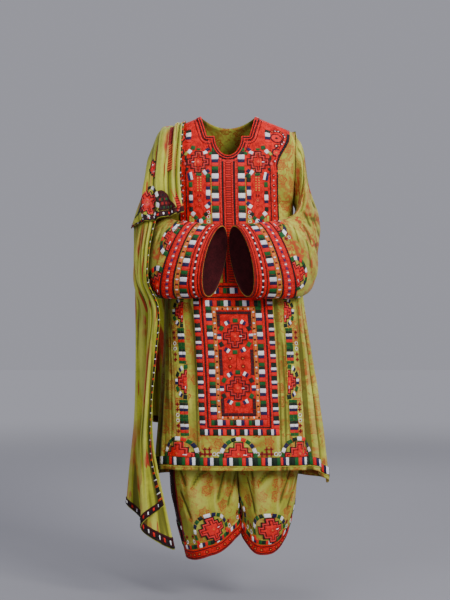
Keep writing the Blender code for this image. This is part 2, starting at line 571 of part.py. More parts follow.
def main():
    clear_scene()
    cloth = material("printed_cloth", LIME)
    work = material("needlework", RED)
    build_tunic_body(cloth, work, material("neck_band", DARK))
    build_sleeve(1, "sleeve_left", "forearm_left", "cuff_left", cloth, work)
    build_sleeve(-1, "sleeve_right", "forearm_right", "cuff_right", cloth, work)
    build_shalwar_seat(cloth)
    build_leg("leg_right", "leg_cuff_right", LEG_RIGHT, HEM_RIGHT, cloth, work)
    build_leg("leg_left", "leg_cuff_left", LEG_LEFT, HEM_LEFT, cloth, work)
    shawl = material("shawl_cloth", LIME)
    build_shawl("shawl_shoulder", [RIDGE] + SHAWL_SHOULDER, [0, 0.5, 1, 1.5, 2, 2.6, 3.2, 3.84, 4],
                np.array(SHAWL_ACROSS), shawl, work, True)
    build_shawl("shawl_back", [RIDGE] + SHAWL_BACK, [0, 0.5, 1, 1.6, 2.3, 3, 4, 5, 5.93, 6],
                np.array(SHAWL_ACROSS), shawl, work, True)
    build_shawl("shawl_fall", SHAWL_FALL, [0, 0.5, 1, 1.6, 2.3, 3, 3.6, 4.3, 5, 6, 7, 7.5, 7.89, 8],
                np.linspace(0, 1, 21), shawl, work, False)


main()
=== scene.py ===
import bpy
import numpy as np
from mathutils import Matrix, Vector


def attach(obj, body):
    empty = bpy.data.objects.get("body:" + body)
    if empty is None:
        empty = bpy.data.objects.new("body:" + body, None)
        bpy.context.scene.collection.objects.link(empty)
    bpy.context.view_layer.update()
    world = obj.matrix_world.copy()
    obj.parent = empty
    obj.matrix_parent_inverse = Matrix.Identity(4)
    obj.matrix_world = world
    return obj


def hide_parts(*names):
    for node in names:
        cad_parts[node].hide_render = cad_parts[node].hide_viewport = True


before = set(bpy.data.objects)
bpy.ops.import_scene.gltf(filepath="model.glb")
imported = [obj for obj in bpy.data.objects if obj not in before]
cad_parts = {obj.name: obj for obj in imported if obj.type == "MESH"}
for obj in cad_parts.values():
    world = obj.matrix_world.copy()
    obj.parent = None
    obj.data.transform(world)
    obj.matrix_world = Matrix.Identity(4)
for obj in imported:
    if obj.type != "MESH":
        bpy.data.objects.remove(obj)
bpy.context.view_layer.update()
dice = np.random.default_rng(7)  # the only chance in the script, always the same
print("frame loaded")

photoView = {
    "place": (-0.0093, -4.3, -0.552),  # metres; level with the waist, looking along +Y
    "lens": 83.2,
}

silk = {  # linear colours of the stitching thread
    "red": (0.76, 0.014, 0.010), "deepRed": (0.26, 0.006, 0.006), "maroon": (0.040, 0.003, 0.006),
    "black": (0.006, 0.005, 0.006), "blackGreen": (0.006, 0.018, 0.009), "green": (0.004, 0.095, 0.016),
    "navy": (0.011, 0.008, 0.060), "white": (0.86, 0.84, 0.90), "lime": (0.42, 0.40, 0.050),
    "orange": (0.78, 0.15, 0.035), "pink": (0.70, 0.070, 0.070), "purple": (0.10, 0.015, 0.09),
    "yellow": (0.68, 0.42, 0.06),
}


def smoothRows(keys, rows, at):
    # cubic curves through the table's rows, whose slope at a row is the mean slope of its neighbours
    keys, rows, at = np.asarray(keys, float), np.asarray(rows, float), np.asarray(at, float)
    slopes = np.gradient(rows, keys, axis=0)
    index = np.clip(np.searchsorted(keys, at) - 1, 0, len(keys) - 2)
    step = keys[index + 1] - keys[index]
    t = np.clip((at - keys[index]) / step, 0, 1)
    more = (1,) * (rows.ndim - 1)
    t, step = t.reshape(t.shape + more), step.reshape(step.shape + more)
    return ((1 + 2 * t) * (1 - t) ** 2 * rows[index] + t * (1 - t) ** 2 * step * slopes[index]
            + t * t * (3 - 2 * t) * rows[index + 1] + t * t * (t - 1) * step * slopes[index + 1])


def ease(t):
    t = np.clip(t, 0, 1)
    return t * t * (3 - 2 * t)


def unit(vectors):
    return vectors / np.maximum(np.linalg.norm(vectors, axis=-1, keepdims=True), 1e-12)


def gridNormals(grid, closed):
    # cross product of the steps down and across, with wrapped columns on a closed tube
    across = np.roll(grid, -1, 1) - np.roll(grid, 1, 1) if closed else np.gradient(grid, axis=1)
    return unit(np.cross(np.gradient(grid, axis=0), across))


def flatSpread(grid, closed):
    # flat coordinates in metres: running mean lengths across and down, with one more column where a tube closes
    wide = np.concatenate([grid, grid[:, :1]], 1) if closed else grid
    across = np.linalg.norm(np.diff(wide, axis=1), axis=2).mean(0)
    down = np.linalg.norm(np.diff(grid, axis=0), axis=2).mean(1)
    u, v = np.concatenate([[0], np.cumsum(across)]), np.concatenate([[0], np.cumsum(down)])
    return np.stack(np.broadcast_arrays(u[None], -v[:, None]), -1)


crease = {"reach": 0.013, "deep": 0.0014}  # how far round a point it is compared, and the depth that counts as full


def hollowness(grid, outward, closed):
    # how far each point lies below the mean of those round it: 1 in a deep crease, -1 on a sharp ridge
    mean = grid
    for axis in (0, 1):
        step = np.linalg.norm(np.diff(grid, axis=axis), axis=2).mean()
        reach = int(np.clip(round(crease["reach"] / step), 1, grid.shape[axis] // 4))
        around = [(reach, reach) if k == axis else (0, 0) for k in range(3)]
        if closed and axis == 1:
            wide = np.pad(mean, around, mode="wrap")
        else:
            wide = np.pad(mean, around, mode="reflect", reflect_type="odd")
        total = np.insert(np.cumsum(wide, axis), 0, 0, axis)
        many, span = grid.shape[axis], 2 * reach + 1
        mean = (np.take(total, np.arange(span, span + many), axis) - np.take(total, np.arange(many), axis)) / span
    return np.clip(((mean - grid) * outward).sum(-1) / crease["deep"], -1, 1)


def putMesh(name, points, quads, flat, looks, lookOf=None, tint=None, hollow=None):
    # a mesh from whole arrays: points, four corners for each face, and a flat place for each corner
    mesh = bpy.data.meshes.new(name)
    mesh.vertices.add(len(points))
    mesh.vertices.foreach_set("co", np.asarray(points, np.float32).ravel())
    mesh.loops.add(quads.size)
    mesh.loops.foreach_set("vertex_index", quads.astype(np.int32).ravel())
    mesh.polygons.add(len(quads))
    mesh.polygons.foreach_set("loop_start", np.arange(len(quads), dtype=np.int32) * 4)
    mesh.update(calc_edges=True)
    mesh.uv_layers.new(name="flat").data.foreach_set("uv", np.asarray(flat, np.float32).ravel())
    mesh.polygons.foreach_set("use_smooth", np.ones(len(quads), bool))
    for look in looks:
        mesh.materials.append(look)
    if lookOf is not None:
        mesh.polygons.foreach_set("material_index", lookOf.astype(np.int32))
    if tint is not None:
        layer = mesh.color_attributes.new("tint", "FLOAT_COLOR", "POINT")
        full = np.pad(tint, ((0, 0), (0, 1)), constant_values=1)
        layer.data.foreach_set("color", full.astype(np.float32).ravel())
    if hollow is not None:
        layer = mesh.attributes.new("hollow", "FLOAT", "POINT")
        layer.data.foreach_set("value", np.asarray(hollow, np.float32).ravel())
    mesh.validate()
    piece = bpy.data.objects.new(name, mesh)
    bpy.context.scene.collection.objects.link(piece)
    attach(piece, "root")
    return piece


def clothWall(name, outer, outward, thickness, looks, closed=False, nodes=(), change=None,
              shade=1):
    # closed wall between a grid and the same grid one thickness inwards; the last look goes on the inside, change is
    # the row from which the outside has its second look, and shade is the strength of the crease shading
    rows, columns = outer.shape[:2]
    many = rows * columns
    flat = flatSpread(outer, closed)
    ids = np.arange(many).reshape(rows, columns)
    wide = np.concatenate([ids, ids[:, :1]], 1) if closed else ids

    def four(table):
        return np.stack([table[:-1, :-1], table[1:, :-1], table[1:, 1:], table[:-1, 1:]], 2)

    quads, spots = four(wide).reshape(-1, 4), four(flat).reshape(-1, 4, 2)
    facing = np.vdot(outward, gridNormals(outer, closed)) > 0
    lines = [(wide[0], flat[0]), (wide[-1][::-1], flat[-1][::-1])]
    if not closed:
        lines += [(wide[::-1, 0], flat[::-1, 0]), (wide[:, -1], flat[:, -1])]
    rims = [np.stack([line[:-1], line[1:], line[1:] + many, line[:-1] + many], 1) for line, spot in lines]
    rimSpots = [np.stack([spot[:-1], spot[1:], spot[1:], spot[:-1]], 1) for line, spot in lines]
    allQuads = np.concatenate([quads, quads[:, ::-1] + many] + rims)
    allSpots = np.concatenate([spots, spots[:, ::-1]] + rimSpots)
    lookOf = np.zeros(len(allQuads))
    lookOf[len(quads):2 * len(quads)] = len(looks) - 1
    if change is not None:
        lookOf[change * (quads.size // 4 // (rows - 1)):len(quads)] = 1
    if not facing:
        allQuads, allSpots = allQuads[:, ::-1], allSpots[:, ::-1]
    points = np.concatenate([outer.reshape(-1, 3), (outer - outward * thickness).reshape(-1, 3)])
    # the mask for the painted shade in the creases and the painted highlight on the ridges, turned round for the inside
    hollow = hollowness(outer, outward, closed) * shade
    piece = putMesh(name, points, allQuads, allSpots, looks, lookOf, hollow=np.stack([hollow, -hollow]))
    if nodes:
        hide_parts(*nodes)
    return piece


class Surface:
    # a cloth's face as a function of two flat coordinates, with its normal from small steps either way
    def __init__(self, place, steps, outside):
        self.place, self.steps = place, steps
        (a, b), direction = outside
        self.turn = 1.0
        normal = self.at(np.array([[a, b]], float), 0, True)[1]
        self.turn = 1.0 if normal[0] @ np.array(direction, float) > 0 else -1.0

    def at(self, flat, lift=0.0, withNormal=False):
        a, b = flat[..., 0], flat[..., 1]
        da, db = self.steps
        point = self.place(a, b)
        along = self.place(a + da, b) - self.place(a - da, b)
        up = self.place(a, b + db) - self.place(a, b - db)
        normal = unit(np.cross(along, up)) * self.turn
        point = point + normal * np.asarray(lift)[..., None]
        return (point, normal) if withNormal else point


def latticeSurface(grid, aKeys, bKeys, outside, wrap=False):
    # the grid's rows follow b and its columns a; places between its points are mixed from the four round them
    aKeys, bKeys = np.asarray(aKeys, float), np.asarray(bKeys, float)
    wide = np.concatenate([grid, grid[:, :1]], 1) if wrap else grid

    def place(a, b):
        a = np.mod(a, aKeys[-1]) if wrap else np.clip(a, aKeys[0], aKeys[-1])
        b = np.clip(b, bKeys[0], bKeys[-1])
        i = np.clip(np.searchsorted(aKeys, a) - 1, 0, len(aKeys) - 2)
        j = np.clip(np.searchsorted(bKeys, b) - 1, 0, len(bKeys) - 2)
        s = ((a - aKeys[i]) / (aKeys[i + 1] - aKeys[i]))[..., None]
        t = ((b - bKeys[j]) / (bKeys[j + 1] - bKeys[j]))[..., None]
        return ((1 - s) * (1 - t) * wide[j, i] + s * (1 - t) * wide[j, i + 1]
                + s * t * wide[j + 1, i + 1] + (1 - s) * t * wide[j + 1, i])

    steps = (np.diff(aKeys).max() * 0.9, np.diff(bKeys).max() * 0.9)
    return Surface(place, steps, outside)


stitching = {
    "gap": 0.00025,      # between neighbouring blocks of stitches
    "rounding": 0.0010,  # how far in the top of a block starts
    "foot": -0.0002,     # how far a block reaches into the face under it
    "shoulder": 0.62,    # where its side starts to round, as a share of its height
    "uneven": 0.00035,   # a hand's wander
    "shade": 0.10,       # colour spread from block to block
    "height": 0.0011,
}
padRings = np.array([(-1, -1), (1, -1), (1, 1), (-1, 1)], float)
padQuads = np.array([(3, 2, 1, 0)] + [(k + r, (k + 1) % 4 + r, (k + 1) % 4 + r + 4, k + r + 4)
                                      for r in (0, 4) for k in range(4)] + [(8, 9, 10, 11)])


class Needlework:
    # blocks of satin stitch on one surface: each is four flat corners, threads running along its first edge
    def __init__(self, surface, base):
        self.surface, self.base = surface, base  # base is the lift of the face that the stitches lie on
        self.corners, self.tints, self.heights, self.bases = [], [], [], []

    def add(self, corners, colour, height=None, base=None):
        corners = np.asarray(corners, float).reshape(-1, 4, 2)
        self.corners.append(corners)
        self.tints.append(np.tile(silk[colour], (len(corners), 1)))
        self.heights.append(np.full(len(corners), stitching["height"] if height is None else height))
        base = self.base if base is None else base
        self.bases.append(base(corners.mean(1)) if callable(base) else np.full(len(corners), base))

    def ladder(self, edgeA, edgeB, cells, height=None, span=(0, 1), once=False, base=None):
        # cells (length, colour) laid one after another between two edges, repeated to fill the whole length
        t = np.linspace(span[0], span[1], 300)
        middle = self.surface.at((edgeA(t) + edgeB(t)) / 2)
        run = np.concatenate([[0], np.cumsum(np.linalg.norm(np.diff(middle, axis=0), axis=1))])
        lengths = np.array([cell[0] for cell in cells], float)
        times = 1 if once else max(1, round(run[-1] / lengths.sum()))
        ends = np.concatenate([[0], np.cumsum(np.tile(lengths, times))])
        ends = np.interp(ends * run[-1] / ends[-1], run, t)
        colours = [cell[1] for cell in cells] * times
        a, b = edgeA(ends), edgeB(ends)
        corners = np.stack([a[:-1], b[:-1], b[1:], a[1:]], 1)
        for colour in sorted(set(colours) - {None}):
            self.add(corners[[c == colour for c in colours]], colour, height, base)

    def across(self, a0, a1, b0, b1, cells, height=None, base=None):
        # a ladder that runs from a0 to a1, between b0 and b1
        self.ladder(edge((a0, b0), (a1, b0)), edge((a0, b1), (a1, b1)), cells, height, base=base)

    def down(self, a0, a1, b0, b1, cells, height=None, base=None):
        # a ladder that runs from b0 to b1, between a0 and a1
        self.ladder(edge((a0, b0), (a0, b1)), edge((a1, b0), (a1, b1)), cells, height, base=base)

    def motif(self, spot, shapes, turn=0.0, base=None, flip=False):
        # shapes (corners in metres round the spot, colour, height) laid flat on the surface at the spot
        spot = np.array(spot, float)
        da, db = self.surface.steps
        near = self.surface.place(spot[0] + np.array([-da, da, 0, 0]), spot[1] + np.array([0, 0, -db, db]))
        alongA, alongB = (near[1] - near[0]) / (2 * da), (near[3] - near[2]) / (2 * db)
        lengthA = np.linalg.norm(alongA)
        east = alongA / lengthA
        skew = alongB @ east
        north = np.linalg.norm(alongB - skew * east)
        matrix = np.linalg.inv(np.array([[lengthA, skew], [0, north]]))
        c, s = np.cos(turn), np.sin(turn)
        for corners, colour, height in shapes:
            corners = np.asarray(corners, float) * np.array([-1 if flip else 1, 1])
            corners = corners @ np.array([[c, s], [-s, c]])
            self.add(spot + corners @ matrix.T, colour, height, base)

    def sew(self, name, look):
        corners, tint = np.concatenate(self.corners), np.concatenate(self.tints)
        high, base = np.concatenate(self.heights), np.concatenate(self.bases)
        count = len(corners)
        world = self.surface.at(corners)
        wide = np.linalg.norm(world[:, [1, 2]] - world[:, [0, 3]], axis=2).mean(1)
        deep = np.linalg.norm(world[:, [3, 2]] - world[:, [0, 1]], axis=2).mean(1)
        wander = dice.normal(0, stitching["uneven"], (count, 1, 2))
        size = np.stack([wide, deep], 1)
        gap = 1 - 2 * np.minimum(stitching["gap"] / size, 0.25)
        top = 1 - 2 * np.minimum((stitching["gap"] + stitching["rounding"]) / size, 0.30)
        spread = np.concatenate([padRings * gap[:, None], padRings * gap[:, None], padRings * top[:, None]], 1)
        spread = spread + wander / size[:, None]
        s, t = spread[..., :1], spread[..., 1:]
        c = corners[:, :, None]
        flat = ((1 - s) * (1 - t) * c[:, 0] + (1 + s) * (1 - t) * c[:, 1]
                + (1 + s) * (1 + t) * c[:, 2] + (1 - s) * (1 + t) * c[:, 3]) / 4
        steps = np.repeat([[stitching["foot"], stitching["shoulder"], 1.0]], count, 0)
        lift = np.where(steps < 0, base[:, None] + steps, base[:, None] + high[:, None] * steps)
        points, normal = self.surface.at(flat, np.repeat(lift, 4, 1), True)
        quads = padQuads[None] + np.arange(count)[:, None, None] * 12
        across, along = points[:, 9] - points[:, 8], points[:, 11] - points[:, 8]
        facing = (np.cross(across, along) * normal[:, 8]).sum(1)
        quads = np.where(facing[:, None, None] > 0, quads, quads[:, :, ::-1])
        place = spread * size[:, None] / 2 + dice.uniform(0, 1, (count, 1, 2))
        places = np.take_along_axis(place[:, None], (quads - np.arange(count)[:, None, None] * 12)[..., None], 2)
        shade = 1 + dice.normal(0, stitching["shade"], (count, 1))
        tint = np.repeat(np.clip(tint * np.clip(shade, 0.7, 1.35), 0, 0.9), 12, 0)
        piece = putMesh(name, points.reshape(-1, 3), quads.reshape(-1, 4), places.reshape(-1, 4, 2), [look],
                        tint=tint)
        print(name, count, "blocks")
        return piece


def edge(*points):
    # a straight or bent line through flat points, as a function of its share from 0 to 1
    points = np.array(points, float)
    share = np.concatenate([[0], np.cumsum(np.linalg.norm(np.diff(points, axis=0), axis=1))])
    share = share / share[-1]
    return lambda t: np.stack([np.interp(t, share, points[:, 0]), np.interp(t, share, points[:, 1])], -1)


def box(x, y, wide, deep, colour, turn=0.0, height=None):
    # one block: its centre, its size along and across the threads, and its turn in degrees
    angle = np.radians(turn)
    c, s = np.cos(angle), np.sin(angle)
    corners = np.array([(-wide, -deep), (wide, -deep), (wide, deep), (-wide, deep)]) / 2
    return corners @ np.array([[c, s], [-s, c]]) + np.array([x, y]), colour, height


def outline(points, wide, colour, height=0.0009, closed=True):
    # a stitched line through points, one block for each straight stretch, long enough to meet at its corners
    points = np.array(points, float)
    ends = np.roll(points, -1, 0) if closed else points[1:]
    starts = points if closed else points[:-1]
    along = unit(ends - starts)
    side = np.stack([-along[:, 1], along[:, 0]], 1) * wide / 2
    starts, ends = starts - along * wide * 0.45, ends + along * wide * 0.45
    corners = np.stack([starts - side, starts + side, ends + side, ends - side], 1)
    return corners, colour, height


def crossLevels(radius, inset=0.0):
    # how far a cross reaches at its tips, its steps and the sides of its arms, from outside in
    return [max(radius * share - inset, 0.0008) for share in (1.0, 0.64, 0.30)]


def stairs(levels):
    # corners of a plus-shaped cross whose arms step in from their half width at the tip, anticlockwise
    steps, quarter = len(levels) - 1, []
    for k in range(steps + 1):
        quarter.append((levels[k], levels[steps - k]))
        if k < steps:
            quarter.append((levels[k + 1], levels[steps - k]))
    turns = [np.array([[c, s], [-s, c]]) for c, s in ((1, 0), (0, 1), (-1, 0), (0, -1))]
    return np.concatenate([np.array(quarter) @ turn for turn in turns])


def crossField(radius, half=False):
    # the cross's own field, filled with narrow blocks that bend with the cloth
    levels = crossLevels(radius)
    xs = np.linspace(-radius, radius, max(4, round(2 * radius / 0.0085)) + 1)
    shapes = []
    for x0, x1 in zip(xs[:-1], xs[1:]):
        tall = levels[sum(abs(x0 + x1) / 2 > level for level in levels[:0:-1])]
        bottom = 0 if half else -tall
        ys = np.linspace(bottom, tall, max(2, round((tall - bottom) / 0.010)) + 1)
        shapes += [box((x0 + x1) / 2, (y0 + y1) / 2, x1 - x0 + 0.0008, y1 - y0 + 0.0008, "red", 0, 0.0007)
                   for y0, y1 in zip(ys[:-1], ys[1:])]
    return shapes


def steppedCross(radius, half=False):
    # nested stepped outlines a few millimetres apart round a bright middle; half keeps what stands above the middle
    shapes = [outline(stairs(crossLevels(radius, inset)), wide, colour, 0.0014)
              for inset, wide, colour in ((0.0, 0.0036, "black"), (0.0040, 0.0020, "pink"), (0.0072, 0.0026, "maroon"))]
    core = radius * 0.20 if half else 0
    shapes += [box(0, core, radius * 0.36, radius * 0.36, "red", 45, 0.0014),
               box(0, core, radius * 0.16, radius * 0.16, "orange", 45, 0.0018),
               box(radius * 0.46, radius * (0.14 if half else 0), radius * 0.26, 0.0030, "white", 0, 0.0020)]
    if not half:
        return shapes
    kept = []
    for corners, colour, height in shapes:
        upper = np.maximum(np.asarray(corners).reshape(-1, 4, 2), [-np.inf, 0.0])
        standing = upper[:, :, 1].max(1) - upper[:, :, 1].min(1) > 0.0008
        if standing.any():
            kept.append((upper[standing], colour, height))
    return kept


def blockCrown(reach, size, colours, start=90.0, sweep=360.0, squash=1.0):
    # blocks of stitches standing side by side round a medallion, each turned to face its middle
    shapes, count = [], len(colours)
    step = sweep / count if sweep >= 360 else sweep / max(count - 1, 1)
    for k, name in enumerate(colours):
        turn = start - k * step
        angle = np.radians(turn)
        x, y = reach * np.cos(angle), reach * squash * np.sin(angle)
        if name == "pair":
            for shift, colour in ((-0.30, "white"), (0.30, "navy")):
                shapes.append(box(x + shift * size * np.sin(angle), y - shift * size * np.cos(angle), size * 0.95,
                                  size * 0.58, colour, turn))
        elif name:
            shapes.append(box(x, y, size * 0.95, size * 1.15, name, turn))
    return shapes


def floret(radius, colour="red", heart="white", petals=4):
    # full petals round a small heart
    shapes = [box(radius * 0.58 * np.cos(a), radius * 0.58 * np.sin(a), radius * 0.84, radius * 0.80, colour,
                  np.degrees(a)) for a in np.arange(petals) * 2 * np.pi / petals]
    return shapes + [box(0, 0, radius * 0.50, radius * 0.50, heart, 45, 0.0018)]


def thick(shapes):
    # the same shapes, as high as the large blocks of silk
    return [(corners, colour, 0.0015) for corners, colour in (shape[:2] for shape in shapes)]


def ringlet(radius, colour="black", heart="yellow"):
    # a ring of small stitches round a dot
    ring = [(radius * np.cos(a), radius * np.sin(a)) for a in np.arange(8) * np.pi / 4]
    return [outline(ring, radius * 0.42, colour), box(0, 0, radius * 0.7, radius * 0.7, heart, 45, 0.0013)]


print("stitch tools ready")


class Link:
    # one socket of a material's tree; sums on it add Math nodes, and node() adds any other node
    def __init__(self, tree, socket=None):
        self.tree, self.socket = tree, socket

    def node(self, kind, settings=None, inputs=None, out=0):
        made = self.tree.nodes.new(kind)
        for key, value in (settings or {}).items():
            if key == "stops":
                ramp = made.color_ramp
                while len(ramp.elements) < len(value):
                    ramp.elements.new(0.5)
                for stop, (place, colour) in zip(ramp.elements, value):
                    stop.position, stop.color = place, (*colour, 1)
            else:
                setattr(made, key, value)
        for key, value in (inputs or {}).items():
            if isinstance(value, Link):
                self.tree.links.new(value.socket, made.inputs[key])
            else:
                made.inputs[key].default_value = value
        return Link(self.tree, made.outputs[out])

    def sum(self, operation, *values):
        return self.node("ShaderNodeMath", {"operation": operation}, dict(enumerate(values)))

    def __add__(self, other):
        return self.sum("ADD", self, other)

    __radd__ = __add__

    def __sub__(self, other):
        return self.sum("SUBTRACT", self, other)

    def __rsub__(self, other):
        return self.sum("SUBTRACT", other, self)

    def __mul__(self, other):
        return self.sum("MULTIPLY", self, other)

    __rmul__ = __mul__

    def most(self, other):
        return self.sum("MAXIMUM", self, other)

    def wave(self):
        return self.sum("SINE", self)

    def rise(self, low, high):
        # 0 below low, 1 above high, a soft step between
        return self.node("ShaderNodeMapRange", {"interpolation_type": "SMOOTHSTEP"},
                         {"Value": self, "From Min": low, "From Max": high, "To Min": 0.0, "To Max": 1.0})

    def near(self, at, reach):
        # 1 at a value, falling to 0 at reach from it
        return 1 - self.sum("ABSOLUTE", self - at).rise(reach * 0.45, reach)

    def noise(self, scale, detail):
        return self.node("ShaderNodeTexNoise", {"noise_dimensions": "2D"},
                         {"Vector": self, "Scale": scale, "Detail": detail})

    def stretched(self, scale, shift=(0, 0, 0), turn=0.0):
        return self.node("ShaderNodeMapping", {}, {"Vector": self, "Location": shift, "Rotation": (0, 0, turn),
                                                   "Scale": scale})

    def part(self, axis):
        return self.node("ShaderNodeSeparateXYZ", {}, {0: self}, axis)

    def threads(self, pitch):
        # a wave whose tops lie a pitch apart
        return (self * (6.2832 / pitch)).wave()

    def mix(self, first, second):
        # colour mix with this socket as the share of the second
        made = self.tree.nodes.new("ShaderNodeMix")
        made.data_type = "RGBA"
        for index, value in ((0, self), (6, first), (7, second)):
            if isinstance(value, Link):
                self.tree.links.new(value.socket, made.inputs[index])
            else:
                made.inputs[index].default_value = (*value, 1) if index else value
        return Link(self.tree, made.outputs[2])


def newMaterial(name, roughness, sheen, specular):
    made = bpy.data.materials.new(name)
    made.use_nodes = True
    shader = made.node_tree.nodes["Principled BSDF"]
    for socket, value in (("Roughness", roughness), ("Sheen Weight", sheen), ("Sheen Roughness", 0.5),
                          ("Specular IOR Level", specular)):
        shader.inputs[socket].default_value = value
    return made, Link(made.node_tree), shader


def clothMaterial(name, roughness, sheen, specular):
    # a material in the piece's own flat coordinates, in metres
    made, start, shader = newMaterial(name, roughness, sheen, specular)
    return made, start.node("ShaderNodeUVMap", {"uv_map": "flat"}), shader


def join(link, socket):
    link.tree.links.new(link.socket, socket)


def raised(height, strength, shader):
    bump = height.node("ShaderNodeBump", {}, {"Strength": strength, "Distance": 1.0, "Height": height})
    join(bump, shader.inputs["Normal"])


clothLook = {
    "lime": (0.455, 0.455, 0.060), "shade": (0.250, 0.255, 0.026), "rust": (0.36, 0.052, 0.014),
    # crease is the painted shade for the cloth's creases, ridge the painted highlight on its ridges
    "crease": (0.075, 0.072, 0.007), "ridge": (0.60, 0.60, 0.150),
    "flowerSpace": 0.060,  # metres between printed flowers
    "weave": 0.0011,       # metres between threads
}
shawlLook = {"lime": (0.430, 0.435, 0.036), "shade": (0.240, 0.250, 0.014), "stain": (0.33, 0.016, 0.010)}


def weave(flat, pitch, crumples, strength, shader):
    # plain weave from two crossed waves, with soft crumples under it
    threads = flat.part(0).threads(pitch) * flat.part(1).threads(pitch)
    raised(threads * 0.00010 + crumples, strength, shader)
    return threads


def paintedFoldShadeAndHighlight(flat, colour):
    # painted highlight on the cloth's ridges, and painted shade down in its creases
    hollow = flat.node("ShaderNodeAttribute", {"attribute_name": "hollow"}, {}, "Fac")
    colour = (hollow.rise(0.05, 0.95) * 0.85).mix(colour, clothLook["crease"])
    return ((0 - hollow).rise(0.40, 1.0) * 0.28).mix(colour, clothLook["ridge"])


def flowerPrint(flat, space, turn):
    # hand-printed rosettes: in each cell a petalled ring, a smaller one and a dot, with leaves outside
    spread = flat.stretched((1 / space,) * 3, turn=turn)
    cell = spread.node("ShaderNodeTexVoronoi", {"voronoi_dimensions": "2D"},
                       {"Vector": spread, "Scale": 1.0, "Randomness": 0.55}, "Position")
    apart = spread.node("ShaderNodeVectorMath", {"operation": "SUBTRACT"}, {0: spread, 1: cell})
    angle = apart.sum("ARCTAN2", apart.part(1), apart.part(0))
    reach = apart.node("ShaderNodeVectorMath", {"operation": "LENGTH"}, {0: apart}, "Value")
    petals = (angle * 6).wave()
    outer = reach.near(0.235 + petals * 0.035, 0.060)
    inner = reach.near(0.125 + petals * 0.028, 0.045)
    leaves = reach.near(0.34, 0.055) * (angle * 5 + 1.3).wave().rise(0.35, 0.8)
    heart = 1 - reach.rise(0.02, 0.055)
    fill = (1 - reach.rise(0.16, 0.26)) * 0.42
    worn = spread.noise(7.0, 3.0).rise(0.28, 0.52)
    return outer.most(inner).most(leaves * 0.45).most(heart).most(fill) * worn


def printedCloth(name, flowers, blots, turn, spread=0.47, lime=clothLook["lime"]):
    # a mottled lime ground under worn rosettes, sprigs and blots of rust; the blots grow towards the arms
    made, flat, shader = clothMaterial(name, 0.82, 0.05, 0.15)
    ground = flat.noise(9.0, 3.0).rise(0.30, 0.72).mix(lime, clothLook["shade"])
    flower = flowerPrint(flat, clothLook["flowerSpace"], turn) * (0.95 * flowers)
    blot = flat.noise(17.0, 5.0).rise(spread, spread + 0.13) * flat.noise(70.0, 4.0).rise(0.34, 0.58)
    outside = flat.node("ShaderNodeTexCoord", {}, {}, "Object").part(0).rise(0.14, 0.23)
    sprigs = flat.noise(26.0, 2.0).near(0.5, 0.024) * flat.noise(12.0, 1.0).rise(0.42, 0.56)
    rust = flower.most(blot * (outside * 0.35 + blots)).most(sprigs * (0.70 * flowers))
    colour = rust.mix(ground, clothLook["rust"])
    colour = (flat.noise(130.0, 4.0).rise(0.35, 0.75) * 0.30).mix(colour, (0.16, 0.15, 0.03))
    join(paintedFoldShadeAndHighlight(flat, colour), shader.inputs["Base Color"])
    crumples = flat.noise(22.0, 3.0) * 0.0040 + flat.stretched((13.0, 3.0, 1.0)).noise(1.0, 3.0) * 0.0160
    threads = weave(flat, clothLook["weave"], crumples, 0.5, shader)
    join(threads * 0.04 + 0.80, shader.inputs["Roughness"])
    return made


def shawlCloth(name):
    # a mottled lime ground with long stains of maroon dye, a rust halo round each, and narrow streaks
    made, flat, shader = clothMaterial(name, 0.78, 0.08, 0.18)
    ground = flat.noise(8.0, 3.0).rise(0.30, 0.70).mix(shawlLook["lime"], shawlLook["shade"])
    long = flat.stretched((16.0, 5.0, 1.0)).noise(1.0, 3.0)
    streaks = flat.stretched((60.0, 7.0, 1.0), (3.1, 1.7, 0)).noise(1.0, 2.0).rise(0.64, 0.70)
    colour = (long.rise(0.53, 0.62) * 0.5).mix(ground, clothLook["rust"])
    colour = long.rise(0.585, 0.665).most(streaks).mix(colour, shawlLook["stain"])
    colour = (flat.noise(150.0, 3.0).rise(0.35, 0.75) * 0.25).mix(colour, (0.15, 0.15, 0.02))
    join(paintedFoldShadeAndHighlight(flat, colour), shader.inputs["Base Color"])
    weave(flat, 0.0009, flat.noise(26.0, 3.0) * 0.003, 0.45, shader)
    return made


def workGround(name, colour, dark, ribs=0.0022):
    # close red stitching that fills a panel between its blocks: ribs of thread with darker lines between
    made, flat, shader = clothMaterial(name, 0.70, 0.0, 0.12)
    ribbed = (flat.part(1) + flat.noise(45.0, 2.0) * 0.004).threads(ribs)
    patchy = flat.noise(60.0, 4.0)
    base = (patchy.rise(0.38, 0.68) * 0.55).mix(colour, dark)
    base = (flat.noise(220.0, 2.0).rise(0.45, 0.70) * 0.45).mix(base, dark)
    base = ((1 - ribbed.rise(-0.95, -0.1)) * 0.65).mix(base, dark)
    join(base, shader.inputs["Base Color"])
    raised(ribbed * 0.0002 + flat.part(0).threads(0.0008) * 0.00005 + patchy * 0.0006, 0.6, shader)
    return made


def silkThread(name):
    # satin stitch: each block's own colour, with threads side by side across its length
    made, flat, shader = clothMaterial(name, 0.50, 0.0, 0.22)
    tint = flat.node("ShaderNodeAttribute", {"attribute_name": "tint"}, {}, "Color")
    threads = (flat.part(1) + flat.noise(90.0, 1.0) * 0.0008).threads(0.00075)
    fuzz = flat.stretched((60, 1400, 1)).noise(1.0, 2.0)
    shade = (1 - threads.rise(-1.0, -0.1)) * 0.34 + (1 - fuzz.rise(0.30, 0.60)) * 0.18
    join(shade.mix(tint, (0.010, 0.008, 0.008)), shader.inputs["Base Color"])
    join(fuzz * 0.25 + 0.36, shader.inputs["Roughness"])
    raised(threads * 0.00014, 0.7, shader)
    return made


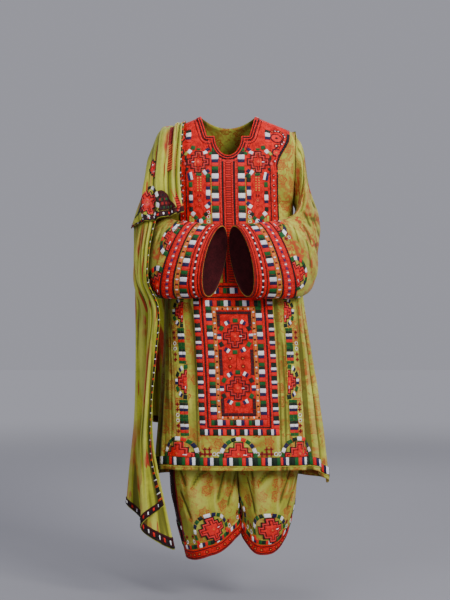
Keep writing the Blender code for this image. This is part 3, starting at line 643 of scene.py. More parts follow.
looks = {
    "front": printedCloth("printedLimeFront", 1.0, 0.55, 0.3),
    "sleeve": printedCloth("printedLimeSleeve", 0.55, 1.00, 0.9, 0.445),
    # the trousers' lime is darker than the tunic's: painted shade, for the shadow of the tunic over them
    "trousers": printedCloth("printedLimeTrousers", 1.0, 0.45, 0.0, lime=(0.375, 0.370, 0.042)),
    "shawl": shawlCloth("dyedShawl"),
    "red": workGround("redGround", (0.80, 0.016, 0.010), (0.16, 0.004, 0.005)),
    "dark": workGround("darkGround", (0.060, 0.008, 0.010), (0.020, 0.004, 0.005)),
    # a dark maroon for the inside of the sleeves: partly the needlework's wrong side, partly painted shade inside the
    # sleeve
    "wrong": workGround("wrongSideAndPaintedShade", (0.085, 0.010, 0.014), (0.030, 0.006, 0.008), 0.004),
    "silk": silkThread("silkThread"),
}
print("materials ready")

tunic = {
    "cloth": 0.0018, "sideDrape": 0.011,
    "frontHalf": 0.190,
    "knots": (0, 0.55, 0.79, 1.0, 2),   # columns of the flat front where its widening changes; 0.79 is the panel's edge
    "flares": (0, 0, 0.040, 0.007, 0),  # how far each of them moves out towards the shoulder
    "neckHalf": 0.083, "neckTop": 0.014, "shoulderSlope": 0.40, "neckCorner": 0.064, "neckLevel": -0.054,
    "keyholeHalf": 0.040, "keyholeBottom": -0.114, "backNeckDrop": 0.028, "neckBand": 0.012, "shoulderRoll": 0.085,
    "armhole": (-0.145, 0.110, 0.070),  # centre height, half height, depth
    "chestBottom": -0.329, "pocketTop": -0.500, "pocketBottom": -0.958, "frontHem": -1.063, "backHem": -1.105,
    "bandTop": 0.040, "bandFoot": 0.015,  # the hem band, over the hem
    "frontRows": 175, "backRows": 130,
}
tunicLevels = np.array([  # height, centre x, half width, front depth, back depth, squareness of the section
    (-1.16, 0.042, 0.2720, 0.158, 0.172, 3.0), (-1.03, 0.038, 0.2620, 0.155, 0.163, 3.0),
    (-0.86, 0.031, 0.2420, 0.150, 0.148, 3.0), (-0.71, 0.024, 0.2240, 0.145, 0.134, 3.0),
    (-0.55, 0.014, 0.2090, 0.138, 0.118, 3.0), (-0.40, 0.007, 0.1990, 0.131, 0.108, 2.8),
    (-0.26, 0.002, 0.1990, 0.127, 0.104, 2.6), (-0.13, 0.000, 0.2045, 0.110, 0.098, 2.4),
    (-0.06, 0.000, 0.2085, 0.084, 0.086, 2.3), (0.02, 0.000, 0.2100, 0.050, 0.062, 2.3)])
frontFolds = [  # column, half width in columns, depth, where it starts, where it is full
    (0.71, 0.07, -0.007, -0.40, -0.60), (-0.71, 0.07, -0.006, -0.40, -0.60), (1.16, 0.09, -0.009, -0.45, -0.80),
    (1.32, 0.10, 0.007, -0.50, -0.90), (1.48, 0.09, -0.011, -0.50, -0.90), (1.64, 0.10, 0.008, -0.55, -0.95),
    (1.82, 0.09, -0.009, -0.55, -0.95), (-1.32, 0.12, -0.007, -0.50, -0.95), (-1.64, 0.12, -0.008, -0.50, -0.95)]
frontCreases = [
    (1.07, 0.022, -0.0035, -0.36, -0.50), (1.24, 0.026, -0.0040, -0.40, -0.60), (1.40, 0.024, -0.0040, -0.34, -0.48),
    (1.57, 0.026, -0.0045, -0.42, -0.62), (1.73, 0.028, -0.0040, -0.36, -0.60), (-1.16, 0.03, -0.0035, -0.40, -0.60),
    (0.665, 0.018, -0.0022, -0.52, -0.62), (0.755, 0.020, -0.0022, -0.62, -0.72),
    (-0.665, 0.018, -0.0022, -0.55, -0.62)]
backFolds = [
    (0.16, 0.13, -0.012, -0.35, -0.90), (-0.33, 0.15, -0.014, -0.35, -0.90), (0.66, 0.14, -0.014, -0.35, -0.90),
    (-0.83, 0.14, -0.012, -0.40, -0.90), (1.25, 0.18, -0.013, -0.40, -0.95), (-1.25, 0.18, -0.010, -0.40, -0.95)]


def shoulderLine(x):
    return tunic["neckTop"] - (np.abs(x) - tunic["neckHalf"]) * tunic["shoulderSlope"]


def frontNeckline(x):
    # height of the front's top edge: a keyhole, a level stretch, the slanted neck and the shoulder
    x = np.abs(x)
    bowl = np.sqrt(np.clip(1 - (x / tunic["keyholeHalf"]) ** 2, 0, 1))
    keyhole = tunic["neckLevel"] - (tunic["neckLevel"] - tunic["keyholeBottom"]) * bowl
    slant = np.interp(x, [tunic["neckCorner"], tunic["neckHalf"]], [tunic["neckLevel"], tunic["neckTop"]])
    return np.where(x < tunic["keyholeHalf"], keyhole, np.where(x < tunic["neckHalf"], slant, shoulderLine(x)))


def backNeckline(x):
    x = np.abs(x)
    scoop = tunic["neckTop"] - tunic["backNeckDrop"] * (1 - (x / tunic["neckHalf"]) ** 2)
    return np.where(x < tunic["neckHalf"], scoop, shoulderLine(x))


def flare(height):
    return ease((height + 0.15) / 0.10)


def columnOffset(column, height):
    # distance from the middle of a column of the flat front
    size = np.abs(column)
    return tunic["frontHalf"] * np.minimum(size, 1) + flare(height) * np.interp(size, tunic["knots"], tunic["flares"])


def tunicSection(height):
    return np.moveaxis(smoothRows(tunicLevels[:, 0], tunicLevels[:, 1:], height), -1, 0)


def armholeDepth(height):
    middle, tall, deep = tunic["armhole"]
    return deep * np.sqrt(np.clip(1 - ((height - middle) / tall) ** 2, 0, 1))


def columnOf(p, height):
    # the column that passes a distance from the middle: the offsets above solved for the column, band by band
    size, values = np.abs(p), tunic["knots"][:4]
    half, square = tunicSection(height)[[1, 4]]
    knots = [tunic["frontHalf"] * value + reach * flare(height) for value, reach in zip(values, tunic["flares"])]
    column = np.zeros_like(size)
    for k in range(3):
        share = np.clip((size - knots[k]) / (knots[k + 1] - knots[k]), 0, 1)
        column = np.where(size >= knots[k], values[k] + share * (values[k + 1] - values[k]), column)
    flat = np.arcsin(np.clip(knots[3] / half, 0, 1) ** (square / 2))
    turn = np.arcsin(np.clip(size / half, 0, 1) ** (square / 2))
    side = 1 + (turn - flat) / np.maximum(np.pi / 2 - flat, 1e-6)
    return np.where(size > knots[3], side, column) * np.where(p < 0, -1, 1)


def tunicPlace(column, height, back=False):
    # a squarish oval section at each level, rolled over the shoulder, with folds and small crumples
    centre, half, front, rear, square = tunicSection(height)
    depth = rear if back else front
    flat = np.arcsin(np.clip(columnOffset(column, height) / half, 0, 1) ** (square / 2))
    angle = flat + (np.pi / 2 - flat) * np.clip(np.abs(column) - 1, 0, 1)
    armhole = armholeDepth(height)
    away = half * np.sin(angle) ** (2 / square)
    out = armhole + (depth - armhole) * np.clip(np.cos(angle), 0, 1) ** (2 / square)
    top = np.where(away < tunic["neckHalf"], tunic["neckTop"], shoulderLine(away))
    rise = np.clip((top - height) / tunic["shoulderRoll"], 0, 1)
    out = out * np.sqrt(1 - (1 - rise) ** 2)
    drape = ease((-0.38 - height) / 0.15) * (1 - 0.6 * ease((-0.75 - height) / 0.3))
    away = away + tunic["sideDrape"] * drape * np.clip(column - 1, 0, 1)
    push = 0 * height
    for at, wide, fold, start, full in (backFolds if back else frontFolds + frontCreases):
        wander = at + 0.012 * np.sin(11 * height + 5 * at)
        push = push + fold * np.exp(-((column - wander) / wide) ** 2) * ease((start - height) / (start - full))
    ends = ease((2 - np.abs(column)) / 0.25)
    loose = ease((-0.45 - height) / 0.3) * ends
    crumple = 0.0005 + 0.0011 * ease((np.abs(column) - 0.98) / 0.2)  # the stitched middle is stiffer
    push = push + loose * crumple * np.sin(9.0 * column + 5.0 * height) * np.sin(31.0 * column + 2.0 * height)
    ripple = 0.0010 * np.sin(13 * column + 17 * height) * np.sin(29 * height)
    push = push + ease((-0.10 - height) / 0.1) * ends * ripple
    away = away + push * np.sin(angle)
    out = np.maximum(out + push * np.cos(angle), 0) + 0.00015
    return np.stack([centre + np.where(column < 0, -1, 1) * away, out if back else -out, height], -1)


def underarmShade(grid):
    # no crease shading along the level where the armhole closes
    middle, tall = tunic["armhole"][:2]
    return ease((np.abs(grid[..., 2] - middle + tall) - 0.006) / 0.030)


def frontHem(column):
    return tunic["frontHem"] - 0.050 * ease((column - 1.15) / 0.75) - 0.010 * ease((-column - 1.2) / 0.8)


def backHem(column):
    return tunic["backHem"] - 0.004 * column


def bandLine(neckline, x):
    # the lowest point within one band width of the neckline
    steps = np.linspace(-1, 1, 25) * tunic["neckBand"]
    reach = neckline(x[None] + steps[:, None]) - np.sqrt(tunic["neckBand"] ** 2 - steps ** 2)[:, None]
    return reach.min(0)


def tunicGrid(columns, rows, neckline, hem, back):
    # rows run from the neckline down to the hem; near the top they follow the neckline, lower down they are level
    offsets = columnOffset(columns, 0 * columns)
    top, bottom = neckline(offsets), hem(columns)
    first, yoke, foot, last = 0.02, -0.17, -1.0, -1.06
    even = first + (last - first) * np.linspace(0, 1, rows)[:, None]
    heights = np.where(even > yoke, top + (yoke - top) * (first - even) / (first - yoke),
                       np.where(even > foot, even, foot + (bottom - foot) * (foot - even) / (foot - last)))
    grid = tunicPlace(np.broadcast_to(columns, heights.shape), heights, back)
    outward = gridNormals(grid, False)
    if (outward[rows // 2, len(columns) // 2, 1] > 0) != back:
        outward = -outward
    outward[:, [0, -1], 1] = 0
    sewn = np.abs(offsets) >= tunic["neckHalf"]
    lean = np.sign(columns) * np.clip(np.abs(columns) - 1, 0, 1) * 0.15
    outward[0, sewn] = np.stack([lean, 0 * lean, 0 * lean + 1], 1)[sewn]
    return grid, unit(outward)


def buildTunic():
    for name, node, front, side, rows, neckline, hem, back in (
            ("tunicFront", "tunic_front", 51, 27, tunic["frontRows"], frontNeckline, frontHem, False),
            ("tunicBack", "tunic_back", 31, 21, tunic["backRows"], backNeckline, backHem, True)):
        half = np.concatenate([np.linspace(0, 1, front), np.linspace(1, 2, side)[1:]])
        columns = np.concatenate([-half[:0:-1], half])
        grid, outward = tunicGrid(columns, rows, neckline, hem, back)
        clothWall(name, grid, outward, tunic["cloth"], [looks["front"]], nodes=[node], shade=underarmShade(grid))


frontFace = Surface(lambda p, z: tunicPlace(columnOf(p, z), z), (0.002, 0.002), ((0.05, -0.4), (0, -1, 0)))
hemFace = Surface(lambda c, h: tunicPlace(c, frontHem(c) + h), (0.012, 0.002), ((0.1, 0.02), (0, -1, 0)))
backHemFace = Surface(lambda c, h: tunicPlace(c, backHem(c) + h, True), (0.012, 0.002), ((0.1, 0.02), (0, 1, 0)))


# lifts over a cloth's face: just clear of it, on a piece laid on it, and on the neck band over the chest panels
onCloth, onWork, onNeckBand = 0.0002, 0.0014, 0.0030


def layPiece(name, surface, a, b, look, nodes, low=onCloth, high=onWork):
    # a thin piece on a cloth's face, between two lifts; a and b are grids of flat coordinates
    flat = np.stack(np.broadcast_arrays(a, b), -1)
    outer, normal = surface.at(flat, high, True)
    return clothWall(name, outer, normal, high - low, [look], nodes=nodes)


sleeve = {
    "cloth": 0.0018, "sides": 112,
    "press": 0.008,      # how far the shawl presses the right sleeve in
    "clearance": 0.006,  # from the tunic
    "cuffFrom": 6.2,     # station of the cuff's upper edge
}
sleeveSections = np.array([  # outer x, y, z; inner x, y, z; front vector x, y, z; back vector x, y, z
    (0.2120, 0.000, -0.0380, 0.2035, 0.000, -0.2560, 0.000, -0.0706, 0.000, 0.000, 0.0706, 0.000),
    (0.2325, 0.004, -0.0900, 0.2070, -0.018, -0.2780, 0.006, -0.0930, 0.000, 0.014, 0.0800, 0.000),
    (0.2480, 0.012, -0.2050, 0.1960, -0.086, -0.2950, 0.014, -0.0780, 0.010, 0.014, 0.0720, -0.014),
    (0.2840, 0.005, -0.3050, 0.1800, -0.124, -0.3020, 0.015, -0.0480, 0.000, 0.000, 0.0400, -0.014),
    (0.2720, -0.012, -0.4000, 0.1660, -0.148, -0.3090, 0.030, -0.0460, 0.000, -0.020, 0.0360, 0.000),
    (0.2620, -0.060, -0.4900, 0.1560, -0.161, -0.3140, 0.032, -0.0550, 0.000, -0.026, 0.0380, 0.000),
    (0.2280, -0.118, -0.5380, 0.1400, -0.172, -0.3180, 0.030, -0.0580, 0.000, -0.028, 0.0420, 0.000),
    (0.1500, -0.175, -0.5460, 0.0850, -0.191, -0.3250, 0.030, -0.0620, 0.000, -0.030, 0.0450, 0.000),
    (0.0560, -0.205, -0.5420, 0.0170, -0.205, -0.3330, 0.034, -0.0600, -0.006, -0.028, 0.0500, 0.000)])
sleeveFolds = [  # station and half length along it, angle and half angle round it in degrees, depth
    (3.05, 0.26, -65, 60, -0.009), (4.25, 0.30, -20, 50, -0.006), (1.70, 0.80, -48, 14, -0.008),
    (1.80, 0.80, -78, 14, 0.006), (1.90, 0.70, -108, 14, -0.008), (3.00, 0.30, 80, 50, -0.006),
    (5.40, 0.35, -50, 24, -0.005)]
sleeveCreases = [
    (3.55, 0.16, -50, 40, -0.004), (3.35, 0.14, -95, 30, -0.004), (4.75, 0.20, -70, 30, -0.003),
    (2.55, 0.20, -40, 26, -0.003), (5.05, 0.22, 10, 34, -0.004), (2.30, 0.5, -125, 12, -0.004)]
sleevePulls = [  # station and turn in degrees at each end of a crease, its half width in metres, its depth
    (0.30, -46, 1.00, -60, 0.006, -0.0045), (0.95, -62, 1.35, -112, 0.007, -0.0060),
    (1.35, -112, 1.65, -130, 0.007, -0.0050), (1.60, -128, 2.50, -156, 0.007, -0.0060),
    (2.50, -156, 3.90, -176, 0.008, -0.0060), (1.70, -96, 2.60, -124, 0.007, -0.0040),
    (2.10, -72, 2.60, -28, 0.008, -0.0045), (2.60, -112, 3.50, -86, 0.007, -0.0045),
    (3.20, -60, 3.90, -18, 0.007, -0.0045), (3.60, -120, 4.50, -84, 0.008, -0.0045),
    (4.10, -64, 4.80, -30, 0.007, -0.0045), (4.60, -104, 5.50, -66, 0.007, -0.0040),
    (5.00, -34, 5.70, 4, 0.007, -0.0040), (4.70, -140, 5.60, -112, 0.007, -0.0040),
    (1.20, -30, 2.30, -10, 0.008, -0.0040), (2.40, 60, 3.40, 100, 0.008, -0.0050),
    (3.40, 40, 4.40, 86, 0.008, -0.0050), (1.00, 60, 2.20, 120, 0.009, -0.0050),
    (4.60, 50, 5.60, 110, 0.008, -0.0045)]


def wrapped(degrees):
    # a turn from -180 to 180
    return (degrees + 180) % 360 - 180


def awayFromMiddle(grid):
    # a tube's normals, turned so that they point away from the middle of each ring
    outward = gridNormals(grid, True)
    return outward * np.sign(((grid - grid.mean(1, keepdims=True)) * outward).sum())


def drawnCrease(across, along, pull, scale):
    # depth of a crease drawn from one flat place to another, thinning to nothing at its ends
    a0, b0, a1, b1, half, depth = pull
    start, way = np.array([a0, b0]) * scale, (np.array([a1, b1]) - [a0, b0]) * scale
    size = np.hypot(*way)
    x, y = across * scale[0] - start[0], along * scale[1] - start[1]
    share = (x * way[0] + y * way[1]) / size ** 2
    apart = (x * way[1] - y * way[0]) / size
    ends = ease((share + 0.15) / 0.3) * ease((1.15 - share) / 0.3)
    return depth * np.exp(-(apart / half) ** 2) * ends


def clearOfTunic(points, margin):
    # points inside the tunic's section, or nearer to it than the margin, are pushed straight out to the margin
    centre, half, front, rear, square = tunicSection(points[..., 2])
    depth = np.where(points[..., 1] < 0, front, rear) + margin
    armhole = armholeDepth(points[..., 2])
    across = (points[..., 0] - centre) / (half + margin)
    along = np.clip(np.abs(points[..., 1]) - armhole, 0, None) / (depth - armhole)
    grow = np.maximum(1 / np.maximum((np.abs(across) ** square + along ** square) ** (1 / square), 0.3), 1)
    beyond = np.sign(points[..., 1]) * (armhole + along * grow * (depth - armhole))
    pushed = np.stack([centre + across * grow * (half + margin), np.where(along > 0, beyond, points[..., 1]),
                       points[..., 2]], -1)
    return np.where((grow > 1)[..., None], pushed, points)


def sleeveGrid(side, stations, sides):
    # oval sections between the sleeve's outer and inner lines, with its folds, kept clear of the tunic
    section = smoothRows(range(len(sleeveSections)), sleeveSections, stations)[:, None]
    outer, inner, front, back = (section[..., k:k + 3].copy() for k in (0, 3, 6, 9))
    if side < 0:
        outer[..., 0] -= (sleeve["press"] * ease(stations) * (1 - ease((stations - 4) / 2)))[:, None]
    angle = np.linspace(0, 2 * np.pi, sides, endpoint=False)[None, :, None]
    reach = (outer - inner) / 2 * np.cos(angle) + np.where(np.sin(angle) < 0, -front, back) * np.sin(angle)
    push = np.zeros((len(stations), sides, 1))
    for at, half, turn, halfTurn, depth in sleeveFolds + sleeveCreases:
        if side > 0 or at > 2:
            apart = wrapped(np.degrees(angle) - turn)
            push = push + depth * np.exp(-((stations[:, None, None] - at) / half) ** 2 - (apart / halfTurn) ** 2)
    metres = np.array([0.064, 0.00125])  # in one station and in one degree
    for pull in sleevePulls:
        if side > 0 or min(pull[0], pull[2]) > 2:
            push = push + drawnCrease(stations[:, None, None], wrapped(np.degrees(angle)), pull, metres)
    grid = (outer + inner) / 2 + reach + push * unit(reach)
    grid = grid * np.array([side, 1, 1])
    centre, half = tunicSection(grid[..., 2])[:2]
    ring = centre + side * (half + 0.0006 + 0.0014 * ease((grid[..., 2] + 0.10) / 0.05))
    share = np.clip(stations / 0.5, 0, 1)[:, None]
    grid[..., 0] = np.where(share < 1, ring * (1 - share) + grid[..., 0] * share, grid[..., 0])
    margin = 0.0003 + (sleeve["clearance"] - 0.0003) * ease(stations)[:, None]
    return clearOfTunic(grid, margin)


def buildSleeve(side, name, nodes):
    cuffFrom = sleeve["cuffFrom"]
    stations = np.concatenate([np.linspace(0, cuffFrom, 80), np.linspace(cuffFrom, 8, 28)[1:]])
    grid = sleeveGrid(side, stations, sleeve["sides"])
    # the whole inside of the sleeve takes the dark maroon wrong side, partly painted shade
    clothWall(name, grid, awayFromMiddle(grid), sleeve["cloth"], [looks["sleeve"], looks["wrong"]], True, nodes=nodes)
    shares = np.linspace(0, 2.0, 61)  # 0 at the cuff's opening, 1 at its upper edge
    cuff = sleeveGrid(side, 8 - shares * (8 - cuffFrom), sleeve["sides"])
    turns = np.arange(sleeve["sides"] + 1) / sleeve["sides"]
    return latticeSurface(cuff, turns, shares, ((0.75, 0.5), (0.3 * side, -1, 0)), wrap=True)


trousers = {
    "cloth": 0.0018, "crotch": -0.850, "square": 2.6, "cuff": 0.052, "gather": 0.0022, "gathers": 38,
    "meet": 0.0060,  # how far each leg swells towards the other
    "hemRight": (-1.300, 0.042, 0.028), "hemLeft": (-1.262, 0.006, 0.066),  # hem height, rise towards +X, front dip
}
seatLevels = np.array([  # height, centre x, half width, half depth
    (-0.850, 0.020, 0.200, 0.108), (-0.700, 0.022, 0.192, 0.108), (-0.560, 0.016, 0.178, 0.106),
    (-0.470, 0.013, 0.160, 0.1059), (-0.430, 0.012, 0.150, 0.1057)])
legRight = np.array([  # share of the way down, centre x, centre y, half width, half depth
    (0.00, -0.0803, 0.000, 0.0995, 0.108), (0.30, -0.0808, 0.000, 0.0995, 0.104),
    (0.62, -0.0725, -0.002, 0.1000, 0.098), (0.85, -0.0580, -0.003, 0.0895, 0.088),
    (1.00, -0.0445, -0.003, 0.0820, 0.079)])
legLeft = np.array([
    (0.00, 0.1203, 0.000, 0.0995, 0.108), (0.30, 0.1250, 0.000, 0.0985, 0.104),
    (0.62, 0.1240, -0.002, 0.0900, 0.098), (0.85, 0.1210, -0.003, 0.0780, 0.086),
    (1.00, 0.1140, -0.003, 0.0670, 0.076)])
legFolds = [(-135, 16, -0.008), (-100, 16, 0.006), (-62, 14, -0.008), (-25, 16, 0.004), (10, 16, -0.007),
            (60, 18, -0.008), (110, 18, 0.006), (150, 16, -0.008)]
legPulls = [  # turn in degrees and height over the hem at each end, half width, depth
    (-62, 0.330, -104, 0.215, 0.007, -0.0045), (-150, 0.340, -118, 0.230, 0.007, -0.0045),
    (-40, 0.250, -72, 0.150, 0.007, -0.0040), (-134, 0.210, -112, 0.120, 0.006, -0.0035),
    (-84, 0.400, -70, 0.280, 0.007, -0.0040), (-30, 0.380, -46, 0.230, 0.007, -0.0045),
    (-100, 0.400, -128, 0.300, 0.007, -0.0040), (-20, 0.200, -50, 0.110, 0.006, -0.0035),
    (30, 0.360, 70, 0.200, 0.008, -0.0045), (100, 0.380, 130, 0.200, 0.008, -0.0045)]
legCreases = [(-118, 7, -0.003), (-84, 6, -0.003), (-44, 7, -0.003), (-8, 8, -0.003), (35, 8, -0.003), (85, 8, -0.003),
              (130, 8, -0.003), (170, 8, -0.003)]


def rounded(angle, square):
    across, along = np.cos(angle), np.sin(angle)
    return np.sign(across) * np.abs(across) ** (2 / square), np.sign(along) * np.abs(along) ** (2 / square)


def legFoot(hem, angle):
    return hem[0] + hem[1] * np.cos(angle) - hem[2] * np.clip(-np.sin(angle), 0, 1) ** 1.5


def legPlace(table, hem, turn, above):
    # a point of a leg's face: turn is its share of the way round, above is its height over the tilted, dipping hem
    angle = turn * 2 * np.pi
    across, along = rounded(angle, trousers["square"])
    bottom = legFoot(hem, angle)
    height = bottom + above
    share = np.clip((height - trousers["crotch"]) / (bottom - trousers["crotch"]), 0, 1)
    centreX, centreY, half, depth = np.moveaxis(smoothRows(table[:, 0], table[:, 1:], share), -1, 0)
    push = 0 * angle
    for at, halfTurn, fold in legFolds + legCreases:
        push = push + fold * np.exp(-(wrapped(np.degrees(angle) - at) / halfTurn) ** 2)
    for pull in legPulls:
        push = push + drawnCrease(wrapped(np.degrees(angle)), above, pull, np.array([0.0016, 1.0]))
    push = push * ease(share * 2.5) * (1 - 0.6 * ease((share - 0.6) / 0.4))
    push = push + 0.0016 * ease(share * 3) * np.sin(3 * angle + 20 * height) * np.sin(46 * height + 2 * angle)
    inner = wrapped(np.degrees(angle) - (0 if table is legRight else 180))
    push = push + trousers["meet"] * ease(share * 2.2) * np.exp(-(inner / 34) ** 2)
    return np.stack([centreX + (half + push) * across, centreY + (depth + push) * along, height], -1)


def buildLeg(name, table, hem, nodes):
    turns = np.arange(145) / 144
    around = turns[None, :-1]
    above = (trousers["crotch"] - legFoot(hem, around * 2 * np.pi)) * (1 - np.linspace(0, 1, 66)[:, None])
    grid = legPlace(table, hem, np.broadcast_to(around, above.shape), above)
    clothWall(name, grid, awayFromMiddle(grid), trousers["cloth"], [looks["trousers"]], True, nodes=nodes)
    heights = np.linspace(0, 0.36, 145)
    lattice = legPlace(table, hem, *np.broadcast_arrays(around, heights[:, None]))
    return latticeSurface(lattice, turns, heights, ((0.75, 0.03), (0, -1, 0)), wrap=True)


def buildSeat():
    angle = np.arange(112) / 112 * 2 * np.pi
    across, along = rounded(angle, 2.4)
    heights = np.linspace(-0.430, -0.8498, 40)
    centre, half, depth = np.moveaxis(smoothRows(seatLevels[:, 0], seatLevels[:, 1:], heights), -1, 0)[..., None]
    gather = np.sin(angle * trousers["gathers"])[None] * (1 - ease((-0.43 - heights) / 0.14))[:, None]
    push = trousers["gather"] * (gather - 1)
    grid = np.stack(np.broadcast_arrays(centre + (half + push) * across, (depth + push) * along, heights[:, None]), -1)
    outward = awayFromMiddle(grid)
    clothWall("trouserSeat", grid, outward, trousers["cloth"], [looks["trousers"]], True, nodes=["shalwar_seat"])
    clothWall("waistCasing", grid[:6] + outward[:6] * 0.0016, outward[:6], 0.0013, [looks["trousers"]], True,
              nodes=["waist_casing"])


shawl = {"cloth": 0.0014, "borderEnd": 0.012}  # the border stops this part of a level above the shawl's foot
ridge = ([-0.131, -0.158, -0.185, -0.212, -0.235, -0.262, -0.294], [0.0] * 7,
         [0.003, -0.006, -0.0150, -0.0259, -0.090, -0.205, -0.325])
shawlShoulder = [  # each level gives the lines' x, y and z, from the edge beside the neck to the edge outside the arm
    ([-0.134, -0.161, -0.188, -0.216, -0.238, -0.264, -0.294], [-0.075, -0.079, -0.073, -0.056, -0.050, -0.048, -0.045],
     [-0.020, -0.030, -0.042, -0.054, -0.115, -0.215, -0.330]),
    ([-0.138, -0.165, -0.193, -0.220, -0.242, -0.266, -0.294], [-0.122, -0.129, -0.128, -0.114, -0.102, -0.090, -0.080],
     [-0.090, -0.100, -0.112, -0.125, -0.168, -0.240, -0.335]),
    ([-0.141, -0.169, -0.198, -0.226, -0.249, -0.270, -0.292], [-0.142, -0.152, -0.155, -0.148, -0.138, -0.124, -0.108],
     [-0.180, -0.188, -0.195, -0.205, -0.232, -0.276, -0.333]),
    ([-0.132, -0.160, -0.190, -0.218, -0.242, -0.264, -0.284], [-0.172, -0.186, -0.196, -0.192, -0.178, -0.156, -0.134],
     [-0.290, -0.298, -0.307, -0.314, -0.318, -0.322, -0.330])]
shawlBack = [
    ([-0.132, -0.160, -0.188, -0.216, -0.238, -0.263, -0.294], [0.078, 0.081, 0.075, 0.058, 0.052, 0.046, 0.040],
     [-0.022, -0.032, -0.045, -0.056, -0.118, -0.215, -0.330]),
    ([-0.122, -0.154, -0.188, -0.220, -0.244, -0.267, -0.294], [0.118, 0.122, 0.120, 0.108, 0.096, 0.085, 0.070],
     [-0.110, -0.118, -0.128, -0.145, -0.190, -0.250, -0.340]),
    ([-0.108, -0.146, -0.186, -0.222, -0.248, -0.270, -0.292], [0.136, 0.144, 0.146, 0.138, 0.124, 0.108, 0.090],
     [-0.260, -0.265, -0.270, -0.280, -0.300, -0.330, -0.375]),
    ([-0.099, -0.134, -0.170, -0.205, -0.236, -0.262, -0.282], [0.146, 0.160, 0.152, 0.162, 0.146, 0.138, 0.112],
     [-0.460, -0.465, -0.470, -0.475, -0.482, -0.495, -0.515]),
    ([-0.098, -0.124, -0.150, -0.176, -0.202, -0.226, -0.248], [0.166, 0.192, 0.168, 0.194, 0.168, 0.188, 0.152],
     [-0.700, -0.703, -0.706, -0.709, -0.712, -0.718, -0.728]),
    ([-0.100, -0.122, -0.146, -0.172, -0.196, -0.220, -0.242], [0.180, 0.212, 0.184, 0.214, 0.184, 0.208, 0.170],
     [-0.930, -0.945, -0.955, -0.965, -0.960, -0.952, -0.945])]
shawlFall = [
    ([-0.203, -0.238, -0.262, -0.2848, -0.2863], [-0.156, -0.140, -0.112, -0.062, 0.006],
     [-0.272, -0.280, -0.290, -0.308, -0.312]),
    ([-0.218, -0.247, -0.268, -0.2850, -0.2860], [-0.190, -0.172, -0.138, -0.082, -0.005],
     [-0.335, -0.340, -0.345, -0.350, -0.352]),
    ([-0.234, -0.258, -0.274, -0.2840, -0.2850], [-0.206, -0.182, -0.147, -0.095, -0.020],
     [-0.418, -0.420, -0.422, -0.424, -0.426]),
    ([-0.236, -0.258, -0.271, -0.2820, -0.2830], [-0.202, -0.178, -0.145, -0.090, -0.025],
     [-0.496, -0.498, -0.500, -0.502, -0.504]),
    ([-0.205, -0.234, -0.230, -0.278, -0.272], [-0.176, -0.154, -0.126, -0.080, -0.036],
     [-0.580, -0.582, -0.585, -0.590, -0.595]),
    ([-0.213, -0.243, -0.222, -0.281, -0.256], [-0.152, -0.130, -0.100, -0.066, -0.030],
     [-0.700, -0.702, -0.705, -0.710, -0.715]),
    ([-0.226, -0.256, -0.229, -0.285, -0.258], [-0.148, -0.124, -0.094, -0.060, -0.024],
     [-0.860, -0.862, -0.865, -0.868, -0.872]),
    ([-0.228, -0.266, -0.222, -0.296, -0.268], [-0.152, -0.124, -0.092, -0.058, -0.022],
     [-1.015, -1.020, -1.025, -1.022, -1.020]),
    ([-0.190, -0.262, -0.163, -0.307, -0.268], [-0.158, -0.128, -0.094, -0.058, -0.022],
     [-1.165, -1.240, -1.308, -1.180, -1.172])]
shawlFolds = [  # share of the width, half width, depth
    (0.040, 0.040, 0.004), (0.095, 0.026, -0.009), (0.150, 0.040, 0.007), (0.225, 0.028, -0.009),
    (0.370, 0.070, 0.005), (0.500, 0.040, -0.006), (0.660, 0.060, 0.004), (0.860, 0.040, -0.005)]
shawlCreases = [
    (0.300, 0.020, -0.0025), (0.430, 0.022, 0.0025), (0.600, 0.030, -0.003), (0.700, 0.03, 0.003),
    (0.190, 0.014, -0.003), (0.800, 0.03, -0.003)]
fallFolds = [
    (0.060, 0.022, -0.006), (0.130, 0.018, 0.005), (0.190, 0.020, -0.006), (0.300, 0.020, 0.005),
    (0.370, 0.022, -0.006), (0.440, 0.020, 0.005), (0.570, 0.020, -0.006), (0.640, 0.022, 0.006),
    (0.700, 0.018, -0.006), (0.860, 0.022, -0.006), (0.930, 0.020, 0.005)]


